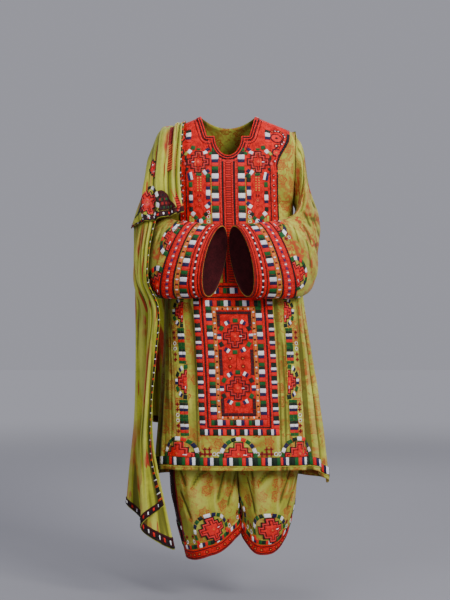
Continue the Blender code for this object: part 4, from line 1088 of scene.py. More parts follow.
def shawlStretch(name, levels, rows, columns, overShoulder, nodes):
    # smooth curves through the shawl's lines along it, then across it, with folds pushed out of the smooth sheet
    table = np.array([np.stack(level, -1) for level in levels])
    down, across = np.linspace(0, len(levels) - 1, rows), np.linspace(0, 1, columns)
    grid = smoothRows(range(len(table)), table, down)
    grid = np.moveaxis(smoothRows(np.linspace(0, 1, table.shape[1]), np.moveaxis(grid, 1, 0), across), 0, 1).copy()
    ahead = grid[-1, :, 1].mean() < 0
    if overShoulder:
        grid[0, :, 1] += -0.00015 if ahead else 0.00015

    def facing(points):
        outward = gridNormals(points, False)
        return -outward if (outward[rows // 3, 2, 1] > 0) == ahead else outward

    outward = facing(grid)
    if overShoulder:
        folds, creases = (sum(depth * np.exp(-((across - at) / half) ** 2) for at, half, depth in table)
                          for table in (shawlFolds, shawlCreases))
        outward[0, :, 1] = 0
        grown = ease(down)[:, None]
        grid = grid + unit(outward) * (folds * (0.5 + 0.5 * grown) + creases * grown)[..., None]
        outward = facing(grid)
        outward[0, :, 1] = 0
        outward = unit(outward)
    else:
        level = down[:, None]
        waves = 0.0024 * np.sin(across * 44 + 0.8 * level) * np.sin(level * 1.7 + 9 * across)
        for at, half, depth in fallFolds:
            wander = at + 0.010 * np.sin(1.3 * level + 20 * at)
            waves = waves + depth * np.exp(-((across - wander) / half) ** 2) * np.sin(0.55 * level + 9 * at) ** 2
        grid = grid + outward * (waves * ease(level / 1.5))[..., None]
        outward = facing(grid)
    clothWall(name, grid + outward * shawl["cloth"] / 2, outward, shawl["cloth"], [looks["shawl"]],
              nodes=nodes)
    direction = outward[rows // 2, columns // 2]
    return [latticeSurface(grid + outward * side * shawl["cloth"] / 2, across, down,
                           ((0.5, down[rows // 2]), direction * side)) for side in (1, -1)]


buildTunic()
cuffFaceLeft = buildSleeve(1, "sleeveLeft", ["sleeve_left", "forearm_left"])
cuffFaceRight = buildSleeve(-1, "sleeveRight", ["sleeve_right", "forearm_right"])
buildSeat()
legFaceRight = buildLeg("legRight", legRight, trousers["hemRight"], ["leg_right"])
legFaceLeft = buildLeg("legLeft", legLeft, trousers["hemLeft"], ["leg_left"])
shoulderFace = shawlStretch("shawlShoulder", [ridge] + shawlShoulder, 85, 90, True, ["shawl_shoulder"])[0]
backShawlFace = shawlStretch("shawlBack", [ridge] + shawlBack, 130, 80, True, ["shawl_back"])[0]
fallFace, fallWrong = shawlStretch("shawlFall", shawlFall, 140, 100, False, ["shawl_fall"])
print("cloth ready")

columnFace = Surface(lambda c, z: tunicPlace(c, z), (0.012, 0.002), ((0.2, -0.4), (0, -1, 0)))


def columnPiece(name, ends, top, bottom, look, nodes, low=onCloth, high=onWork, rows=60, face=columnFace):
    # a piece of the front between two columns; top and bottom are heights, or functions of the column
    c = np.linspace(*ends, max(12, int(abs(ends[1] - ends[0]) * 90)))[None]
    top, bottom = (side(c) if callable(side) else side + 0 * c for side in (top, bottom))
    z = top + (bottom - top) * np.linspace(0, 1, rows)[:, None]
    return layPiece(name, face, c, z, look, nodes, low, high)


def topOf(c):
    return frontNeckline(columnOffset(c, 0 * c)) - 0.0006


def underBand(c):
    return bandLine(frontNeckline, columnOffset(c, 0 * c)[0])[None]


def buildGrounds():
    for side, word in ((1, "Left"), (-1, "Right")):
        low = word.lower()
        columnPiece("chest" + word, (0.141 * side, 0.789 * side), topOf, tunic["chestBottom"], looks["red"],
                    ["chest_panel_" + low])
        columnPiece("skirtStrip" + word, (0.791 * side, 0.999 * side), tunic["pocketTop"] - 0.0005,
                    lambda c: frontHem(c) + tunic["bandTop"] + 0.0005, looks["front"], ["skirt_strip_" + low], rows=100)
    columnPiece("placketStrip", (-0.139, 0.139), topOf, tunic["pocketTop"] + 0.0004, looks["dark"], ["placket"])
    columnPiece("pocket", (-0.629, 0.629), tunic["pocketTop"] - 0.0004, tunic["pocketBottom"], looks["red"],
                ["pocket_panel"], rows=84)
    columnPiece("neckBandFront", (-0.506, 0.506), topOf, underBand, looks["dark"], ["neck_band_front"],
                onWork + 0.0002, onNeckBand, 8)
    back = Surface(lambda c, z: tunicPlace(c, z, True), (0.012, 0.002), ((0.2, -0.4), (0, 1, 0)))
    columnPiece("neckBandBack", (-0.506, 0.506), lambda c: backNeckline(columnOffset(c, 0 * c)) - 0.0006,
                lambda c: bandLine(backNeckline, columnOffset(c, 0 * c)[0])[None], looks["dark"], ["neck_band_back"],
                onCloth, 0.0016, 8, back)
    c, h = np.linspace(-1.998, 1.998, 260)[None], np.linspace(tunic["bandTop"], tunic["bandFoot"], 9)[:, None]
    layPiece("hemBandFront", hemFace, c, h, looks["dark"], ["hem_band_front"])
    layPiece("hemBandBack", backHemFace, c, h, looks["dark"], ["hem_band_back"])


def ringPiece(name, face, count, levels, ground, change, node):
    # a ring of red ground; its rows from change on show the cloth's own print
    flat = np.stack(np.broadcast_arrays(np.arange(count)[None] / count, levels[:, None]), -1)
    outer, normal = face.at(flat, onWork, True)
    clothWall(name, outer, normal, onWork - onCloth, [looks["red"], looks[ground]], True, [node], change)


def buildCuffGrounds():
    for word, face in (("Left", cuffFaceLeft), ("Right", cuffFaceRight)):
        ringPiece("cuff" + word, face, 112, np.linspace(0.001, 0.999, 40), "sleeve", 33, "cuff_" + word.lower())
    for word, face in (("Left", legFaceLeft), ("Right", legFaceRight)):
        ringPiece("legCuff" + word, face, 144, np.linspace(0.0005, 0.0515, 14), "trousers", 8,
                  "leg_cuff_" + word.lower())


blockRun = [(0.011, "green"), (0.009, "blackGreen"), (0.014, "white"), (0.0095, "navy"), (0.011, "red")]
thinRun = [(0.015, "blackGreen"), (0.0085, "white"), (0.006, "navy"), (0.011, "red")]
dotRun = [(0.012, "orange"), (0.0045, "white"), (0.012, "orange"), (0.0045, "black")]
fineRed = [(0.0034, "red"), (0.0026, "red")]
plainRun = {colour: [(0.007, colour)] for colour in silk}
fullCrown = ["green", "pair", "blackGreen", "pair", "green", "pair"] * 2


def moved(shapes, dx, dy, sx=1.0, sy=1.0):
    return [(np.asarray(corners) * [sx, sy] + [dx, dy], colour, height) for corners, colour, height in shapes]


def sideTools(work, side):
    # stitch calls in places counted from the middle, laid on one side of it
    def column(p0, p1, top, bottom, cells, height=None, **more):
        tops = top if isinstance(top, tuple) else (top, top)
        work.ladder(edge((side * p0, tops[0]), (side * p0, bottom)), edge((side * p1, tops[1]), (side * p1, bottom)),
                    cells, height, **more)

    def put(p, z, shapes, turn=0.0, **more):
        work.motif((side * p, z), shapes, np.radians(turn) * side, flip=side < 0, **more)

    return column, put


def sewWindow(put):
    # the pointed window with its seeds
    window = [(0.0875, -0.166), (0.1005, -0.176), (0.1040, -0.205), (0.1040, -0.250), (0.0975, -0.284),
              (0.0875, -0.300), (0.0775, -0.284), (0.0715, -0.250), (0.0715, -0.205), (0.0750, -0.176)]
    inner = [(0.0875 + (x - 0.0875) * 0.66, -0.226 + (z + 0.226) * 0.84) for x, z in window]
    put(0, 0, [outline(window, 0.0024, "pink"), outline(inner, 0.0022, "orange")])
    for k in range(6):
        put(0.0875, -0.184 - k * 0.0075, [box(x, 0, 0.0036, 0.0040, "yellow") for x in (-0.0045, 0.0045)])
    put(0.0875, -0.237, [box(x, 0, 0.0036, 0.008, "maroon") for x in (-0.004, 0.004)])
    put(0.0875, -0.252, ringlet(0.0048, "pink"))
    put(0.0875, -0.268, ringlet(0.0036, "deepRed", "orange"))


def sewPoint(put, foot):
    # the two slanted blocks over the chain outside the window, and the pointed foot under it
    put(0.1135, -0.178, thick([box(-0.003, 0, 0.0075, 0.024, "white", -12),
                               box(0.0045, -0.003, 0.0075, 0.024, "navy", -12)]))
    for x, z, colour, turn in (
            (0.1080, -0.292, "white", 40), (0.1000, -0.304, "green", 40), (0.0915, -0.314, "navy", 30),
            (0.0845, -0.314, "white", -10), (0.0765, -0.306, "green", -40), (0.0690, -0.294, "blackGreen", -40),
            (0.0640, -0.270, "white", -35), (0.0585, -0.262, "navy", -35)):
        put(x, z, thick([box(0, 0, 0.0125, 0.0125, colour, turn)]))
    for x, length in ((0.0580, 0.034), (0.0655, 0.022), (0.1085, 0.024), (0.1165, 0.030)):
        put(x, foot + length / 2, [box(0, 0, 0.0072, length, "lime", 0, 0.0007)])
    for z in (-0.288, -0.302, -0.316):
        put(0.0620, z, ringlet(0.0042, "white", "deepRed"))


chestBlocks = [  # blocks round the chest's stepped cross: place from its middle, size, colour, turn in degrees
    (0.0165, 0.0460, 0.014, 0.013, "green", 15), (0.0000, 0.0400, 0.013, 0.007, "green", 0),
    (0.0270, 0.0330, 0.012, 0.013, "white", 35), (0.0370, 0.0270, 0.009, 0.013, "lime", 35),
    (-0.0270, 0.0390, 0.012, 0.010, "navy", -25), (-0.0210, 0.0300, 0.013, 0.010, "white", -25),
    (-0.0370, 0.0270, 0.012, 0.009, "green", -25), (0.0400, -0.0060, 0.008, 0.010, "pink", 10),
    (-0.0210, -0.0340, 0.010, 0.016, "white", -35), (-0.0300, -0.0290, 0.010, 0.012, "navy", -35),
    (-0.0340, -0.0440, 0.011, 0.013, "blackGreen", -20), (-0.0030, -0.0400, 0.017, 0.009, "green", 5),
    (0.0380, 0.0120, 0.007, 0.012, "blackGreen", 0), (0.0330, -0.0230, 0.008, 0.010, "blackGreen", 30)]


def sewStar(put):
    # a star in a dotted ring on the shoulder, with florets under it
    x, z = 0.1470, -0.0600
    disc = [(0.0175 * np.cos(a), 0.0175 * np.sin(a)) for a in np.arange(12) * np.pi / 6]
    put(x, z, [outline(disc, 0.0048, "maroon")] + floret(0.0160, "red", "black", 6)
        + [box(0, 0, 0.0080, 0.0080, "black", 45, 0.0020)])
    for k in range(11):
        a = np.radians(118 - k * 21)
        put(x + 0.0262 * np.cos(a), z + 0.0250 * np.sin(a), ringlet(0.0058, "black", "white" if k % 3 else "orange"))
    put(0.1460, -0.1060, ringlet(0.0125, "maroon", "red") + floret(0.0100, "red", "yellow", 5))
    put(0.1460, -0.0840, ringlet(0.0050))
    put(0.1420, -0.1330, floret(0.0080, "deepRed"))


def armholeRim(side, inset):
    # a line beside the armhole, an inset away from the chest panel's outer edge
    z = np.linspace(-0.044, -0.160, 14)
    x = columnOffset(tunic["knots"][2], z) - inset * (0.45 + 0.55 * ease((z + 0.16) / 0.07))
    return edge(*np.stack([side * x, z], 1))


def sewChest():
    work = Needlework(frontFace, onWork)
    foot, pocketTop = tunic["chestBottom"] + 0.001, tunic["pocketTop"] + 0.001
    work.down(-0.0082, 0.0082, -0.128, pocketTop, [(0.0042, "red"), (0.0032, "deepRed")], 0.0010)
    for side in (1, -1):
        column, put = sideTools(work, side)
        column(0.0086, 0.0146, (-0.128, -0.126), pocketTop, fineRed, 0.0009)
        column(0.0150, 0.0196, (-0.126, -0.124), pocketTop, [(0.008, "black")], 0.0009)
        column(0.0200, 0.0262, (-0.124, -0.122), pocketTop, [(0.005, "red")], 0.0010)
        column(0.0272, 0.0284, -0.090, foot, plainRun["pink"], 0.0008)
        column(0.0292, 0.0500, -0.092, foot, blockRun, 0.0015)
        column(0.0508, 0.0532, -0.176, foot, plainRun["lime"], 0.0008)
        column(0.0548, 0.0680, -0.170, -0.250, [
            (0.010, "green"), (0.009, "blackGreen"), (0.008, "red"), (0.008, "navy"), (0.012, "white"),
            (0.008, "navy")], 0.0015)
        sewWindow(put)
        column(0.1075, 0.1190, -0.196, -0.286, [
            (0.014, "green"), (0.009, "red"), (0.010, "blackGreen"), (0.014, "white"), (0.008, "navy"), (0.010, "red"),
            (0.012, "blackGreen")], 0.0015, once=True)
        sewPoint(put, foot)
        put(0.0905, -0.1350, steppedCross(0.0330) + thick([box(*block) for block in chestBlocks]))
        column(0.1120, 0.1280, (-0.020, -0.026), -0.074, [
            (0.009, "red"), (0.010, "blackGreen"), (0.012, "white"), (0.008, "navy"), (0.007, "red")], 0.0015)
        column(0.1252, 0.1288, -0.096, foot, [(0.008, "black")], 0.0009)
        column(0.1452, 0.1498, -0.165, foot, [(0.008, "black")], 0.0009)
        for k in range(10):
            put(0.1370, -0.176 - 0.0152 * k, floret(0.0050, "pink" if k % 2 else "deepRed"))
        sewStar(put)
        for outer, inner, run, height in ((0.0105, 0.0012, [(0.008, "black")], 0.0012),
                                          (0.0185, 0.0112, [(0.006, "red")], 0.0011),
                                          (0.0205, 0.0189, [(0.006, "black")], 0.0009)):
            work.ladder(armholeRim(side, outer), armholeRim(side, inner), run, height)
    work.across(-0.149, 0.149, foot + 0.005, foot, plainRun["black"], 0.0007)
    work.sew("chestStitches", looks["silk"])


def neckPath(inset):
    # the neckline as a line of flat places, moved away from the opening by a distance
    x = np.concatenate([np.linspace(-0.095, -0.0835, 8), np.linspace(-0.083, -0.064, 26),
                        np.linspace(-0.063, -0.0405, 16), -0.0399 * np.cos(np.linspace(0, np.pi / 2, 30))])
    z = frontNeckline(x)
    line = np.stack([np.concatenate([x, -x[-2::-1]]), np.concatenate([z, z[-2::-1]])], 1)
    along = unit(np.gradient(line, axis=0))
    for _ in range(3):
        along[1:-1] = unit(along[:-2] + 2 * along[1:-1] + along[2:])
    outward = line + np.stack([along[:, 1], -along[:, 0]], 1) * inset
    outward[:, 1] = np.minimum(outward[:, 1], shoulderLine(outward[:, 0]) - 0.001)
    return edge(*outward)


def sewNeck():
    work = Needlework(frontFace, onNeckBand)
    for start, end, colour in ((0.0006, 0.0042, "red"), (0.0045, 0.0074, "black"), (0.0077, 0.0114, "red")):
        work.ladder(neckPath(start), neckPath(end), [(0.004, colour)], 0.0008)
    for start, end, colour in ((0.0126, 0.0160, "black"), (0.0164, 0.0222, "red"), (0.0226, 0.0246, "black")):
        work.ladder(neckPath(start), neckPath(end), [(0.005, colour)], 0.0009, (0.045, 0.955), base=onWork)
    work.sew("neckStitches", looks["silk"])


def sewPocket():
    work = Needlework(frontFace, onWork)
    top, foot = tunic["pocketTop"] - 0.002, tunic["pocketBottom"] + 0.0012
    frameTop, frameFoot = -0.586, -0.890
    thinRed, thinBlack, maroonRun = [(0.006, "red")], [(0.006, "black")], [(0.010, "maroon")]
    columns = [  # from one distance from the middle to another, top and foot, blocks, their height
        (0.1020, 0.1190, top, foot + 0.0185, thinRun, 0.0015), (0.0965, 0.1012, top, foot + 0.0185, thinRed, 0.0009),
        (0.0912, 0.0960, top, foot + 0.023, [(0.008, "black")], 0.0010),
        (0.0850, 0.0906, top, foot + 0.028, thinRed, 0.0009),
        (0.0655, 0.0838, -0.571, foot + 0.048, [
            (0.011, "green"), (0.009, "blackGreen"), (0.013, "white"), (0.0095, "navy"), (0.012, "red")], 0.0015),
        (0.0628, 0.0646, -0.574, -0.906, plainRun["lime"], 0.0008), (0.0556, 0.0622, -0.574, -0.906, dotRun, 0.0010),
        (0.0532, 0.0550, -0.574, -0.906, plainRun["lime"], 0.0008),
        (0.0418, 0.0522, frameTop, -0.632, maroonRun, 0.0009), (0.0418, 0.0522, -0.700, -0.778, maroonRun, 0.0009),
        (0.0418, 0.0522, -0.846, frameFoot, maroonRun, 0.0009)]
    rows = [  # top and foot, half its width, blocks, their height
        (-0.553, -0.571, 0.0838, [
            (0.012, "white"), (0.009, "navy"), (0.012, "red"), (0.010, "blackGreen"), (0.010, "green")], 0.0015),
        (-0.5725, -0.5745, 0.0646, plainRun["lime"], 0.0008), (-0.5750, -0.5822, 0.0622, dotRun, 0.0010),
        (frameTop, frameTop - 0.0095, 0.0522, maroonRun, 0.0009),
        (frameFoot, frameFoot - 0.0095, 0.0522, maroonRun, 0.0009),
        (-0.9005, -0.9070, 0.0622, dotRun, 0.0010), (-0.9076, -0.9094, 0.0646, plainRun["lime"], 0.0008),
        (-0.9106, -0.9275, 0.0838, [
            (0.010, "green"), (0.009, "blackGreen"), (0.014, "white"), (0.010, "navy"), (0.012, "red")], 0.0015),
        (-0.9286, -0.9310, 0.0906, thinRed, 0.0009), (-0.9314, -0.9352, 0.0960, plainRun["black"], 0.0010),
        (-0.9356, -0.9378, 0.1012, thinRed, 0.0009), (-0.9386, foot, 0.1190, thinRun, 0.0015),
        (top, top - 0.006, 0.084, thinRed, 0.0009), (top - 0.007, top - 0.011, 0.084, thinBlack, 0.0009),
        (top - 0.013, top - 0.031, 0.084, blockRun, 0.0015), (top - 0.033, top - 0.038, 0.084, thinRed, 0.0009),
        (top - 0.040, top - 0.044, 0.084, thinBlack, 0.0009)]
    for side in (1, -1):
        column, put = sideTools(work, side)
        for row in columns:
            column(*row)
        for z in (-0.727, -0.751):
            put(0.0190, z, ringlet(0.0050, "maroon"))
    for z0, z1, half, cells, height in rows:
        work.across(-half, half, z0, z1, cells, height)
    for z in (-0.6610, -0.8160):
        work.motif((0, z), steppedCross(0.0345) + thick(blockCrown(0.0475, 0.0135, fullCrown)))
    work.motif((0, -0.7385), [box(0, 0, 0.0024, 0.044, "deepRed")])
    work.sew("pocketStitches", looks["silk"])


def halfMedallion(radius):
    return crossField(radius, True) + steppedCross(radius, True)


def medallion(radius):
    return crossField(radius) + steppedCross(radius)


def standing(shapes):
    # turned a quarter to the right: what stood up now points to the side
    return [(np.asarray(corners).reshape(-1, 4, 2)[:, :, ::-1] * [1, -1], colour, height)
            for corners, colour, height in shapes]


def sewStrips():
    work = Needlework(frontFace, onWork)
    long = [(0.009, "green"), (0.008, "blackGreen"), (0.009, "white"), (0.009, "navy"), (0.009, "red")]
    long = long + [(0.011, "green")] + long + [(0.009, "green")]
    crown = blockCrown(0.0400, 0.0130, ["green", "pair", "blackGreen", "pair", "green", "pair", "blackGreen"], 84, 168)
    for side in (1, -1):
        column, put = sideTools(work, side)
        for place in ((0.1525, 0.1620, -0.636, -0.744), (0.1622, 0.1720, -0.636, -0.744),
                      (0.1525, 0.1645, -0.852, -0.960), (0.1647, 0.1765, -0.852, -0.960)):
            column(*place, long, 0.0015, once=True)
        for middle, wide, high in ((-0.588, 0.80, 1.0), (-0.798, 0.88, 1.12)):
            put(0.1522, middle, moved(standing(halfMedallion(0.0315)), 0, 0, wide, high))
            put(0.1532, middle, moved(crown, 0, 0, wide * 0.92, high * 1.02))
        for z in (-0.650, -0.666, -0.716, -0.732, -0.866, -0.882, -0.930, -0.946):
            put(0.1830, z, floret(0.0062, "deepRed", "maroon"))
        for z in (-0.683, -0.699, -0.898, -0.914):
            put(0.1830, z, ringlet(0.0048, "white", "deepRed"))
    work.sew("stripStitches", looks["silk"])


def evenColumns(face, h, middle, spacing):
    # columns a fixed distance apart along the hem, counted from one of them
    c = np.linspace(-1.93, 1.93, 400)
    points = face.at(np.stack([c, 0 * c + h], 1))
    run = np.concatenate([[0], np.cumsum(np.linalg.norm(np.diff(points, axis=0), axis=1))])
    start = np.interp(middle, c, run)
    steps = np.arange(np.ceil((0.03 - start) / spacing), np.floor((run[-1] - 0.03 - start) / spacing) + 1)
    return np.interp(start + steps * spacing, run, c)


def hemBase(flat):
    # on the front the hem band and the two skirt strips lie under the stitches
    column = np.abs(flat[:, 0])
    strip = (column > tunic["knots"][2]) & (column < tunic["knots"][3])
    return np.where((flat[:, 1] < tunic["bandTop"]) | strip, onWork, onCloth)


def backBase(flat):
    return np.where(flat[:, 1] < tunic["bandTop"], onWork, onCloth)


def sewHem():
    cells = [(0.011, "green"), (0.011, "red"), (0.008, "navy"), (0.010, "white"), (0.006, "blackGreen"),
             (0.010, "blackGreen")]
    crown = ["green", "white", "navy", "green", "blackGreen", "white", "red", "green", "navy", "white", "green"]
    crown = thick(blockCrown(0.0520, 0.0125, crown, 176, 172, 1.04))
    deep, ring = floret(0.0078, "deepRed", "maroon"), ringlet(0.0052, "white", "deepRed")
    for name, face, base, middle in (("hemStitches", hemFace, hemBase, -0.037),
                                     ("backHemStitches", backHemFace, backBase, 0.0)):
        work = Needlework(face, base)
        work.across(-1.99, 1.99, tunic["bandTop"] - 0.0006, tunic["bandFoot"] + 0.0006, cells, 0.0015)
        work.across(-1.99, 1.99, 0.0125, 0.0100, [(0.008, "lime")], 0.0008)
        spots = evenColumns(face, 0.05, middle, 0.190)
        for c in spots:
            work.motif((c, tunic["bandTop"] + 0.0008), halfMedallion(0.0440) + crown)
        for c in (spots[1:] + spots[:-1]) / 2:
            for shift, shapes in ((-0.034, ring), (-0.021, deep), (-0.007, deep), (0.007, deep), (0.021, ring),
                                  (0.034, ring)):
                work.motif((c, 0.0500), moved(shapes, shift, 0))
            for shift in (-0.007, 0.007):
                work.motif((c, 0.0640), moved(floret(0.0066, "deepRed", "maroon"), shift, 0))
        work.sew(name, looks["silk"])


cuffBands = [  # from one share of the cuff's depth to another, the blocks along it, and their height
    (0.006, 0.030, [(0.006, "deepRed")], 0.0013), (0.034, 0.050, plainRun["black"], 0.0009),
    (0.054, 0.080, fineRed, 0.0009), (0.084, 0.098, plainRun["black"], 0.0009), (0.104, 0.150, fineRed, 0.0009),
    (0.154, 0.190, [(0.013, "maroon"), (0.0060, "white")], 0.0012), (0.194, 0.238, fineRed, 0.0009),
    (0.243, 0.262, plainRun["black"], 0.0009), (0.267, 0.285, [(0.006, "red")], 0.0009),
    (0.292, 0.430, [(0.012, "green"), (0.008, "blackGreen"), (0.014, "white"), (0.011, "navy"), (0.012, "red")],
     0.0015),
    (0.438, 0.452, plainRun["lime"], 0.0009), (0.456, 0.512, dotRun, 0.0010), (0.516, 0.530, plainRun["lime"], 0.0009),
    (0.536, 0.572, plainRun["black"], 0.0010), (0.577, 0.650, fineRed, 0.0009),
    (0.656, 0.708, [(0.009, "purple"), (0.006, "pink"), (0.004, "white"), (0.006, "pink")], 0.0012),
    (0.714, 0.792, fineRed, 0.0009), (0.796, 0.834, plainRun["black"], 0.0010)]


def sewCuff(face, name, turns, flowers):
    # half medallions stand on the bands' upper edge at some turns, and flowers between them at others
    upper = 0.836
    work = Needlework(face, lambda flat: np.where(flat[:, 1] < 1.0, onWork, onCloth))
    for share0, share1, cells, height in cuffBands:
        work.across(0, 1, share0, share1, cells, height)
    crown = ["green", "white", "navy", "red", "green", "blackGreen", "white", "red", "green", "navy", "white", "green"]
    for turn in turns:
        work.motif((turn, upper), halfMedallion(0.0400) + thick(blockCrown(0.0490, 0.0125, crown, 174, 168)))
    deep, ring = floret(0.0070, "deepRed", "maroon"), ringlet(0.0050, "white", "deepRed")
    for turn in flowers:
        for dx, dy, shapes in ((-0.013, 0.012, deep), (0.013, 0.012, deep), (0.0, 0.012, ring), (0.0, 0.027, deep),
                               (-0.013, 0.027, ring), (0.013, 0.027, ring)):
            work.motif((turn, upper), moved(shapes, dx, dy))
    work.sew(name, looks["silk"])


legBands = [  # height of its two edges over the hem, the blocks along it, and their height
    (0.0008, 0.0040, [(0.006, "deepRed")], 0.0013), (0.0046, 0.0074, plainRun["black"], 0.0009),
    (0.0080, 0.0108, [(0.006, "red")], 0.0009), (0.0112, 0.0200, fineRed, 0.0008),
    (0.0206, 0.0234, [(0.006, "red")], 0.0009), (0.0240, 0.0268, plainRun["black"], 0.0009),
    (0.0274, 0.0306, [(0.006, "red")], 0.0009),
    (0.0330, 0.0460, [(0.012, "blackGreen"), (0.008, "red"), (0.010, "white"), (0.009, "navy"), (0.008, "red"),
                      (0.010, "green")], 0.0014)]


def sewLeg(face, side, start, end):
    # start and end: the dark band down the outer side seam, as shares of the way round; partly dark stitching, partly
    # painted shade down the leg's shaded side
    work = Needlework(face, lambda flat: np.where(flat[:, 1] < trousers["cuff"], onWork, onCloth))
    layPiece("legSideBand" + side, face, np.linspace(start, end, 24)[None], np.linspace(0.0535, 0.352, 50)[:, None],
             looks["dark"], [])
    reach = 0.0045 * np.sign(end - start)
    for share, colour in ((0.04, "maroon"), (0.96, "deepRed")):
        a = start + (end - start) * share
        work.down(a - reach, a + reach, 0.055, 0.350, plainRun[colour], 0.0010, base=onWork)
    for k in range(9):
        work.motif(((start + end) / 2, 0.110 + 0.029 * k), ringlet(0.0042, "maroon", "white"), base=onWork)
    for low, high, cells, height in legBands:
        work.across(0, 1, low, high, cells, height)
    for turn in np.arange(26) / 26:
        work.motif((turn, 0.0156), ringlet(0.0046), base=onWork + 0.0005)
    crown = ["red", "green", "white", "navy", "green", "blackGreen", "white", "navy", "green", "white", "navy", "green",
             "red"]
    crown = thick(blockCrown(0.0560, 0.0125, crown, 196, 212, 1.02))
    deep, ring = floret(0.0066, "deepRed", "maroon"), ringlet(0.0050, "white", "deepRed")
    for turn in (0.016, 0.266, 0.516, 0.766):
        work.motif((turn, 0.0760), medallion(0.0370), base=onWork + 0.0013)
        work.motif((turn, 0.0640), crown)
        for dy, shapes in ((0.008, ring), (0.024, deep)):
            for dx in (-0.071, 0.071):
                work.motif((turn, 0.0475), moved(shapes, dx, dy))
    work.sew("legStitches" + side, looks["silk"])


def shawlTrim(name, faces, first, last, nodes, cells, wide=0.030):
    # a dark border that binds the stretch's foot, with lines of stitches along it and up the long edges
    low, high = last - first, last - shawl["borderEnd"]
    layPiece(name + "Border", faces[0], np.linspace(0.004, 0.996, 130)[None], np.linspace(low, high, 8)[:, None],
             looks["dark"], nodes, low=-shawl["cloth"] - onWork)
    for face, side in zip(faces, ("", "Wrong")):  # the wrong side too, where it can be seen
        work = Needlework(face, onWork)
        for share0, share1, run in ((0.97, 0.78, [(0.006, "black")]), (0.72, 0.30, cells),
                                    (0.24, 0.05, [(0.006, "maroon")])):
            work.across(0.01, 0.99, low + (high - low) * share0, low + (high - low) * share1, run, 0.0010)
        for near, far in ((0.004, wide), (0.996, 1 - wide)):
            work.down(near, far, 0.3, low, [(0.016, "black"), (0.004, "white"), (0.014, "maroon"), (0.006, "red")],
                      0.0011, base=onCloth)
        work.sew(name + side + "Stitches", looks["silk"])


def sewShawl():
    cells = [(0.015, "black"), (0.005, "white"), (0.013, "maroon"), (0.007, "red")]
    shawlTrim("shawlShoulder", [shoulderFace], 0.16, 4.0, ["shawl_shoulder_border"], cells)
    shawlTrim("shawlBack", [backShawlFace], 0.10, 6.0, ["shawl_back_border"], cells)
    shawlTrim("shawlFall", [fallFace, fallWrong], 0.13, 8.0, ["shawl_fall_border"], cells, 0.042)
    fall = np.linspace(0, 1, 18)[:, None]  # a dark corner that widens down to the border: partly black stitching, partly painted shade inside the fold
    layPiece("shawlDarkCornerPaintedShade", shoulderFace, 0.400 - (0.060 + 0.200 * fall ** 0.6) * np.linspace(1, 0, 40)[None],
             3.30 + 0.53 * fall, looks["dark"], [])
    work = Needlework(shoulderFace, onCloth)
    for row, run in enumerate((
            [(0.007, "maroon"), (0.005, "black")], [(0.006, "black"), (0.004, "green"), (0.006, "deepRed")],
            [(0.008, "deepRed"), (0.006, "maroon")], [(0.005, "green"), (0.008, "black"), (0.005, "maroon")])):
        high, low = 3.40 + 0.11 * row, 3.47 + 0.11 * row
        left = 0.365 - 0.200 * ((high - 3.30) / 0.53) ** 0.6
        work.across(left, 0.390, high, low, run, 0.0008, base=onWork)
    # the dark band and the ribbed patch along the fold nearest the neck, and the red tail below them
    for a0, a1 in ((0.130, 0.200), (0.202, 0.272)):
        work.down(a0, a1, 0.55, 1.72, [(0.004, "deepRed")], 0.0010)
    for a0, a1, top, a2, a3, foot, run in (
            (0.095, 0.175, 1.76, 0.085, 0.165, 2.75, [(0.0045, "orange"), (0.0035, "deepRed")]),
            (0.178, 0.262, 1.76, 0.168, 0.252, 2.75, [(0.0045, "orange"), (0.0035, "deepRed")]),
            (0.100, 0.190, 3.30, 0.020, 0.110, 3.96, [(0.0045, "red"), (0.003, "deepRed")])):
        work.ladder(edge((a0, top), (a2, foot)), edge((a1, top), (a3, foot)), run, 0.0010)
    # a small medallion, and the large one inside its half ring of blocks
    small = crossField(0.0170) + [outline(stairs(crossLevels(0.0190)), 0.0032, "black", 0.0014)]
    bud = floret(0.0090, "pink", "white")
    work.motif((0.530, 2.32), moved(small, 0, 0, 0.85, 1.7) + moved(bud, 0, 0.012) + moved(bud, 0, -0.012),
               np.radians(-18))
    place = (0.620, 3.42)
    # black blocks beside the large medallion: partly black stitching, partly painted shade inside the fold
    work.motif(place, [box(0.022 + 0.008 * k, -0.020 - 0.004 * k, 0.010, 0.060 - 0.010 * k, "black", -12, 0.0006)
                       for k in range(5)])
    crown = ["black", "white", "black", "white", "blackGreen", "white"] + ["black", "white"] * 3
    work.motif(place, medallion(0.0400) + floret(0.0120, "pink", "black", 6)
               + thick(blockCrown(0.0480, 0.0125, crown, 240, 200)))
    work.sew("shawlMedallions", looks["silk"])


buildGrounds()
buildCuffGrounds()
sewChest()
sewNeck()
sewPocket()
sewStrips()
sewHem()
sewCuff(cuffFaceLeft, "cuffStitchesLeft", (0.82, 0.07, 0.31, 0.53), (0.645,))
sewCuff(cuffFaceRight, "cuffStitchesRight", (0.655, 0.875, 0.085, 0.285, 0.475), ())
sewLeg(legFaceRight, "Right", 0.505, 0.595)
sewLeg(legFaceLeft, "Left", 0.085, 0.0)
sewShawl()
print("needlework ready")
lamps = {  # place, what it points at, side in metres, power, colour
    "keyLight": ((2.6, -3.8, 1.5), (0, 0, -0.6), 1.6, 250, (1.0, 0.99, 0.97)),
    "fillLight": ((-2.8, -3.6, 0.4), (0, 0, -0.7), 2.6, 62, (0.97, 0.98, 1.0)),
    "topLight": ((0.2, -0.4, 2.6), (0, 0, -0.6), 2.0, 45, (1, 1, 1)),
    "backLight": ((0.6, 3.4, 1.2), (0, 0, -0.6), 2.4, 60, (1, 1, 1)),
}


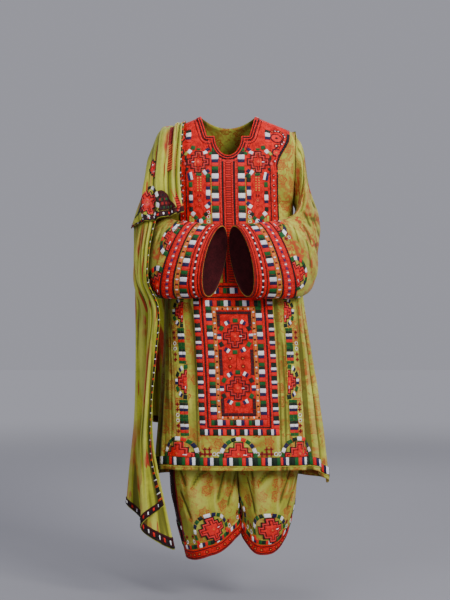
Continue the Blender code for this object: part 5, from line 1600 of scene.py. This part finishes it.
def lampAt(name, place, target, size, power, colour):
    light = bpy.data.lights.new(name, "AREA")
    light.shape, light.size, light.energy, light.color = "SQUARE", size, power, colour
    lamp = bpy.data.objects.new(name, light)
    lamp.location = place
    lamp.rotation_mode = "QUATERNION"
    lamp.rotation_quaternion = (Vector(target) - Vector(place)).to_track_quat("-Z", "Y")
    bpy.context.scene.collection.objects.link(lamp)


studio = {
    "floor": -1.478, "floorHalf": 14.0, "floorColour": (0.265, 0.265, 0.298), "fadeFrom": 2.2, "fadeTo": 7.0,
    "air": (0.68, 0.68, 0.77), "airPower": 0.50,
}


def buildStudio():
    r = studio["floorHalf"]
    points = np.array([(-r, -r, 0), (r, -r, 0), (r, r, 0), (-r, r, 0)], float) + [0, 0, studio["floor"]]
    mesh = bpy.data.meshes.new("floor")
    mesh.from_pydata(points.tolist(), [], [(0, 1, 2, 3)])
    floor = bpy.data.objects.new("floor", mesh)
    bpy.context.scene.collection.objects.link(floor)
    made, start, shader = newMaterial("studioFloor", 0.9, 0.0, 0.2)
    place = start.node("ShaderNodeTexCoord", {}, {}, "Object")
    paint = studio["floorColour"]
    colour = (place.noise(2.5, 3.0) * 0.25).mix(paint, tuple(c * 0.88 for c in paint))
    # far away the floor turns into the colour of the air, so that no horizon shows
    far = place.node("ShaderNodeVectorMath", {"operation": "LENGTH"}, {0: place}, "Value")
    far = far.rise(studio["fadeFrom"], studio["fadeTo"])
    join(far.mix(colour, (0, 0, 0)), shader.inputs["Base Color"])
    glow = tuple(c * studio["airPower"] for c in studio["air"])
    join(far.mix((0, 0, 0), glow), shader.inputs["Emission Color"])
    shader.inputs["Emission Strength"].default_value = 1.0
    mesh.materials.append(made)
    world = bpy.data.worlds.new("studioAir")
    bpy.context.scene.world = world
    world.use_nodes = True
    world.node_tree.nodes["Background"].inputs["Color"].default_value = (*studio["air"], 1)
    world.node_tree.nodes["Background"].inputs["Strength"].default_value = studio["airPower"]
    for name, lamp in lamps.items():
        lampAt(name, *lamp)
    eye = bpy.data.cameras.new("photoEye")
    eye.lens, eye.sensor_width = photoView["lens"], 36.0
    camera = bpy.data.objects.new("photoEye", eye)
    camera.location = photoView["place"]
    camera.rotation_euler = (np.pi / 2, 0, 0)
    bpy.context.scene.collection.objects.link(camera)
    bpy.context.scene.camera = camera


buildStudio()
print("done")
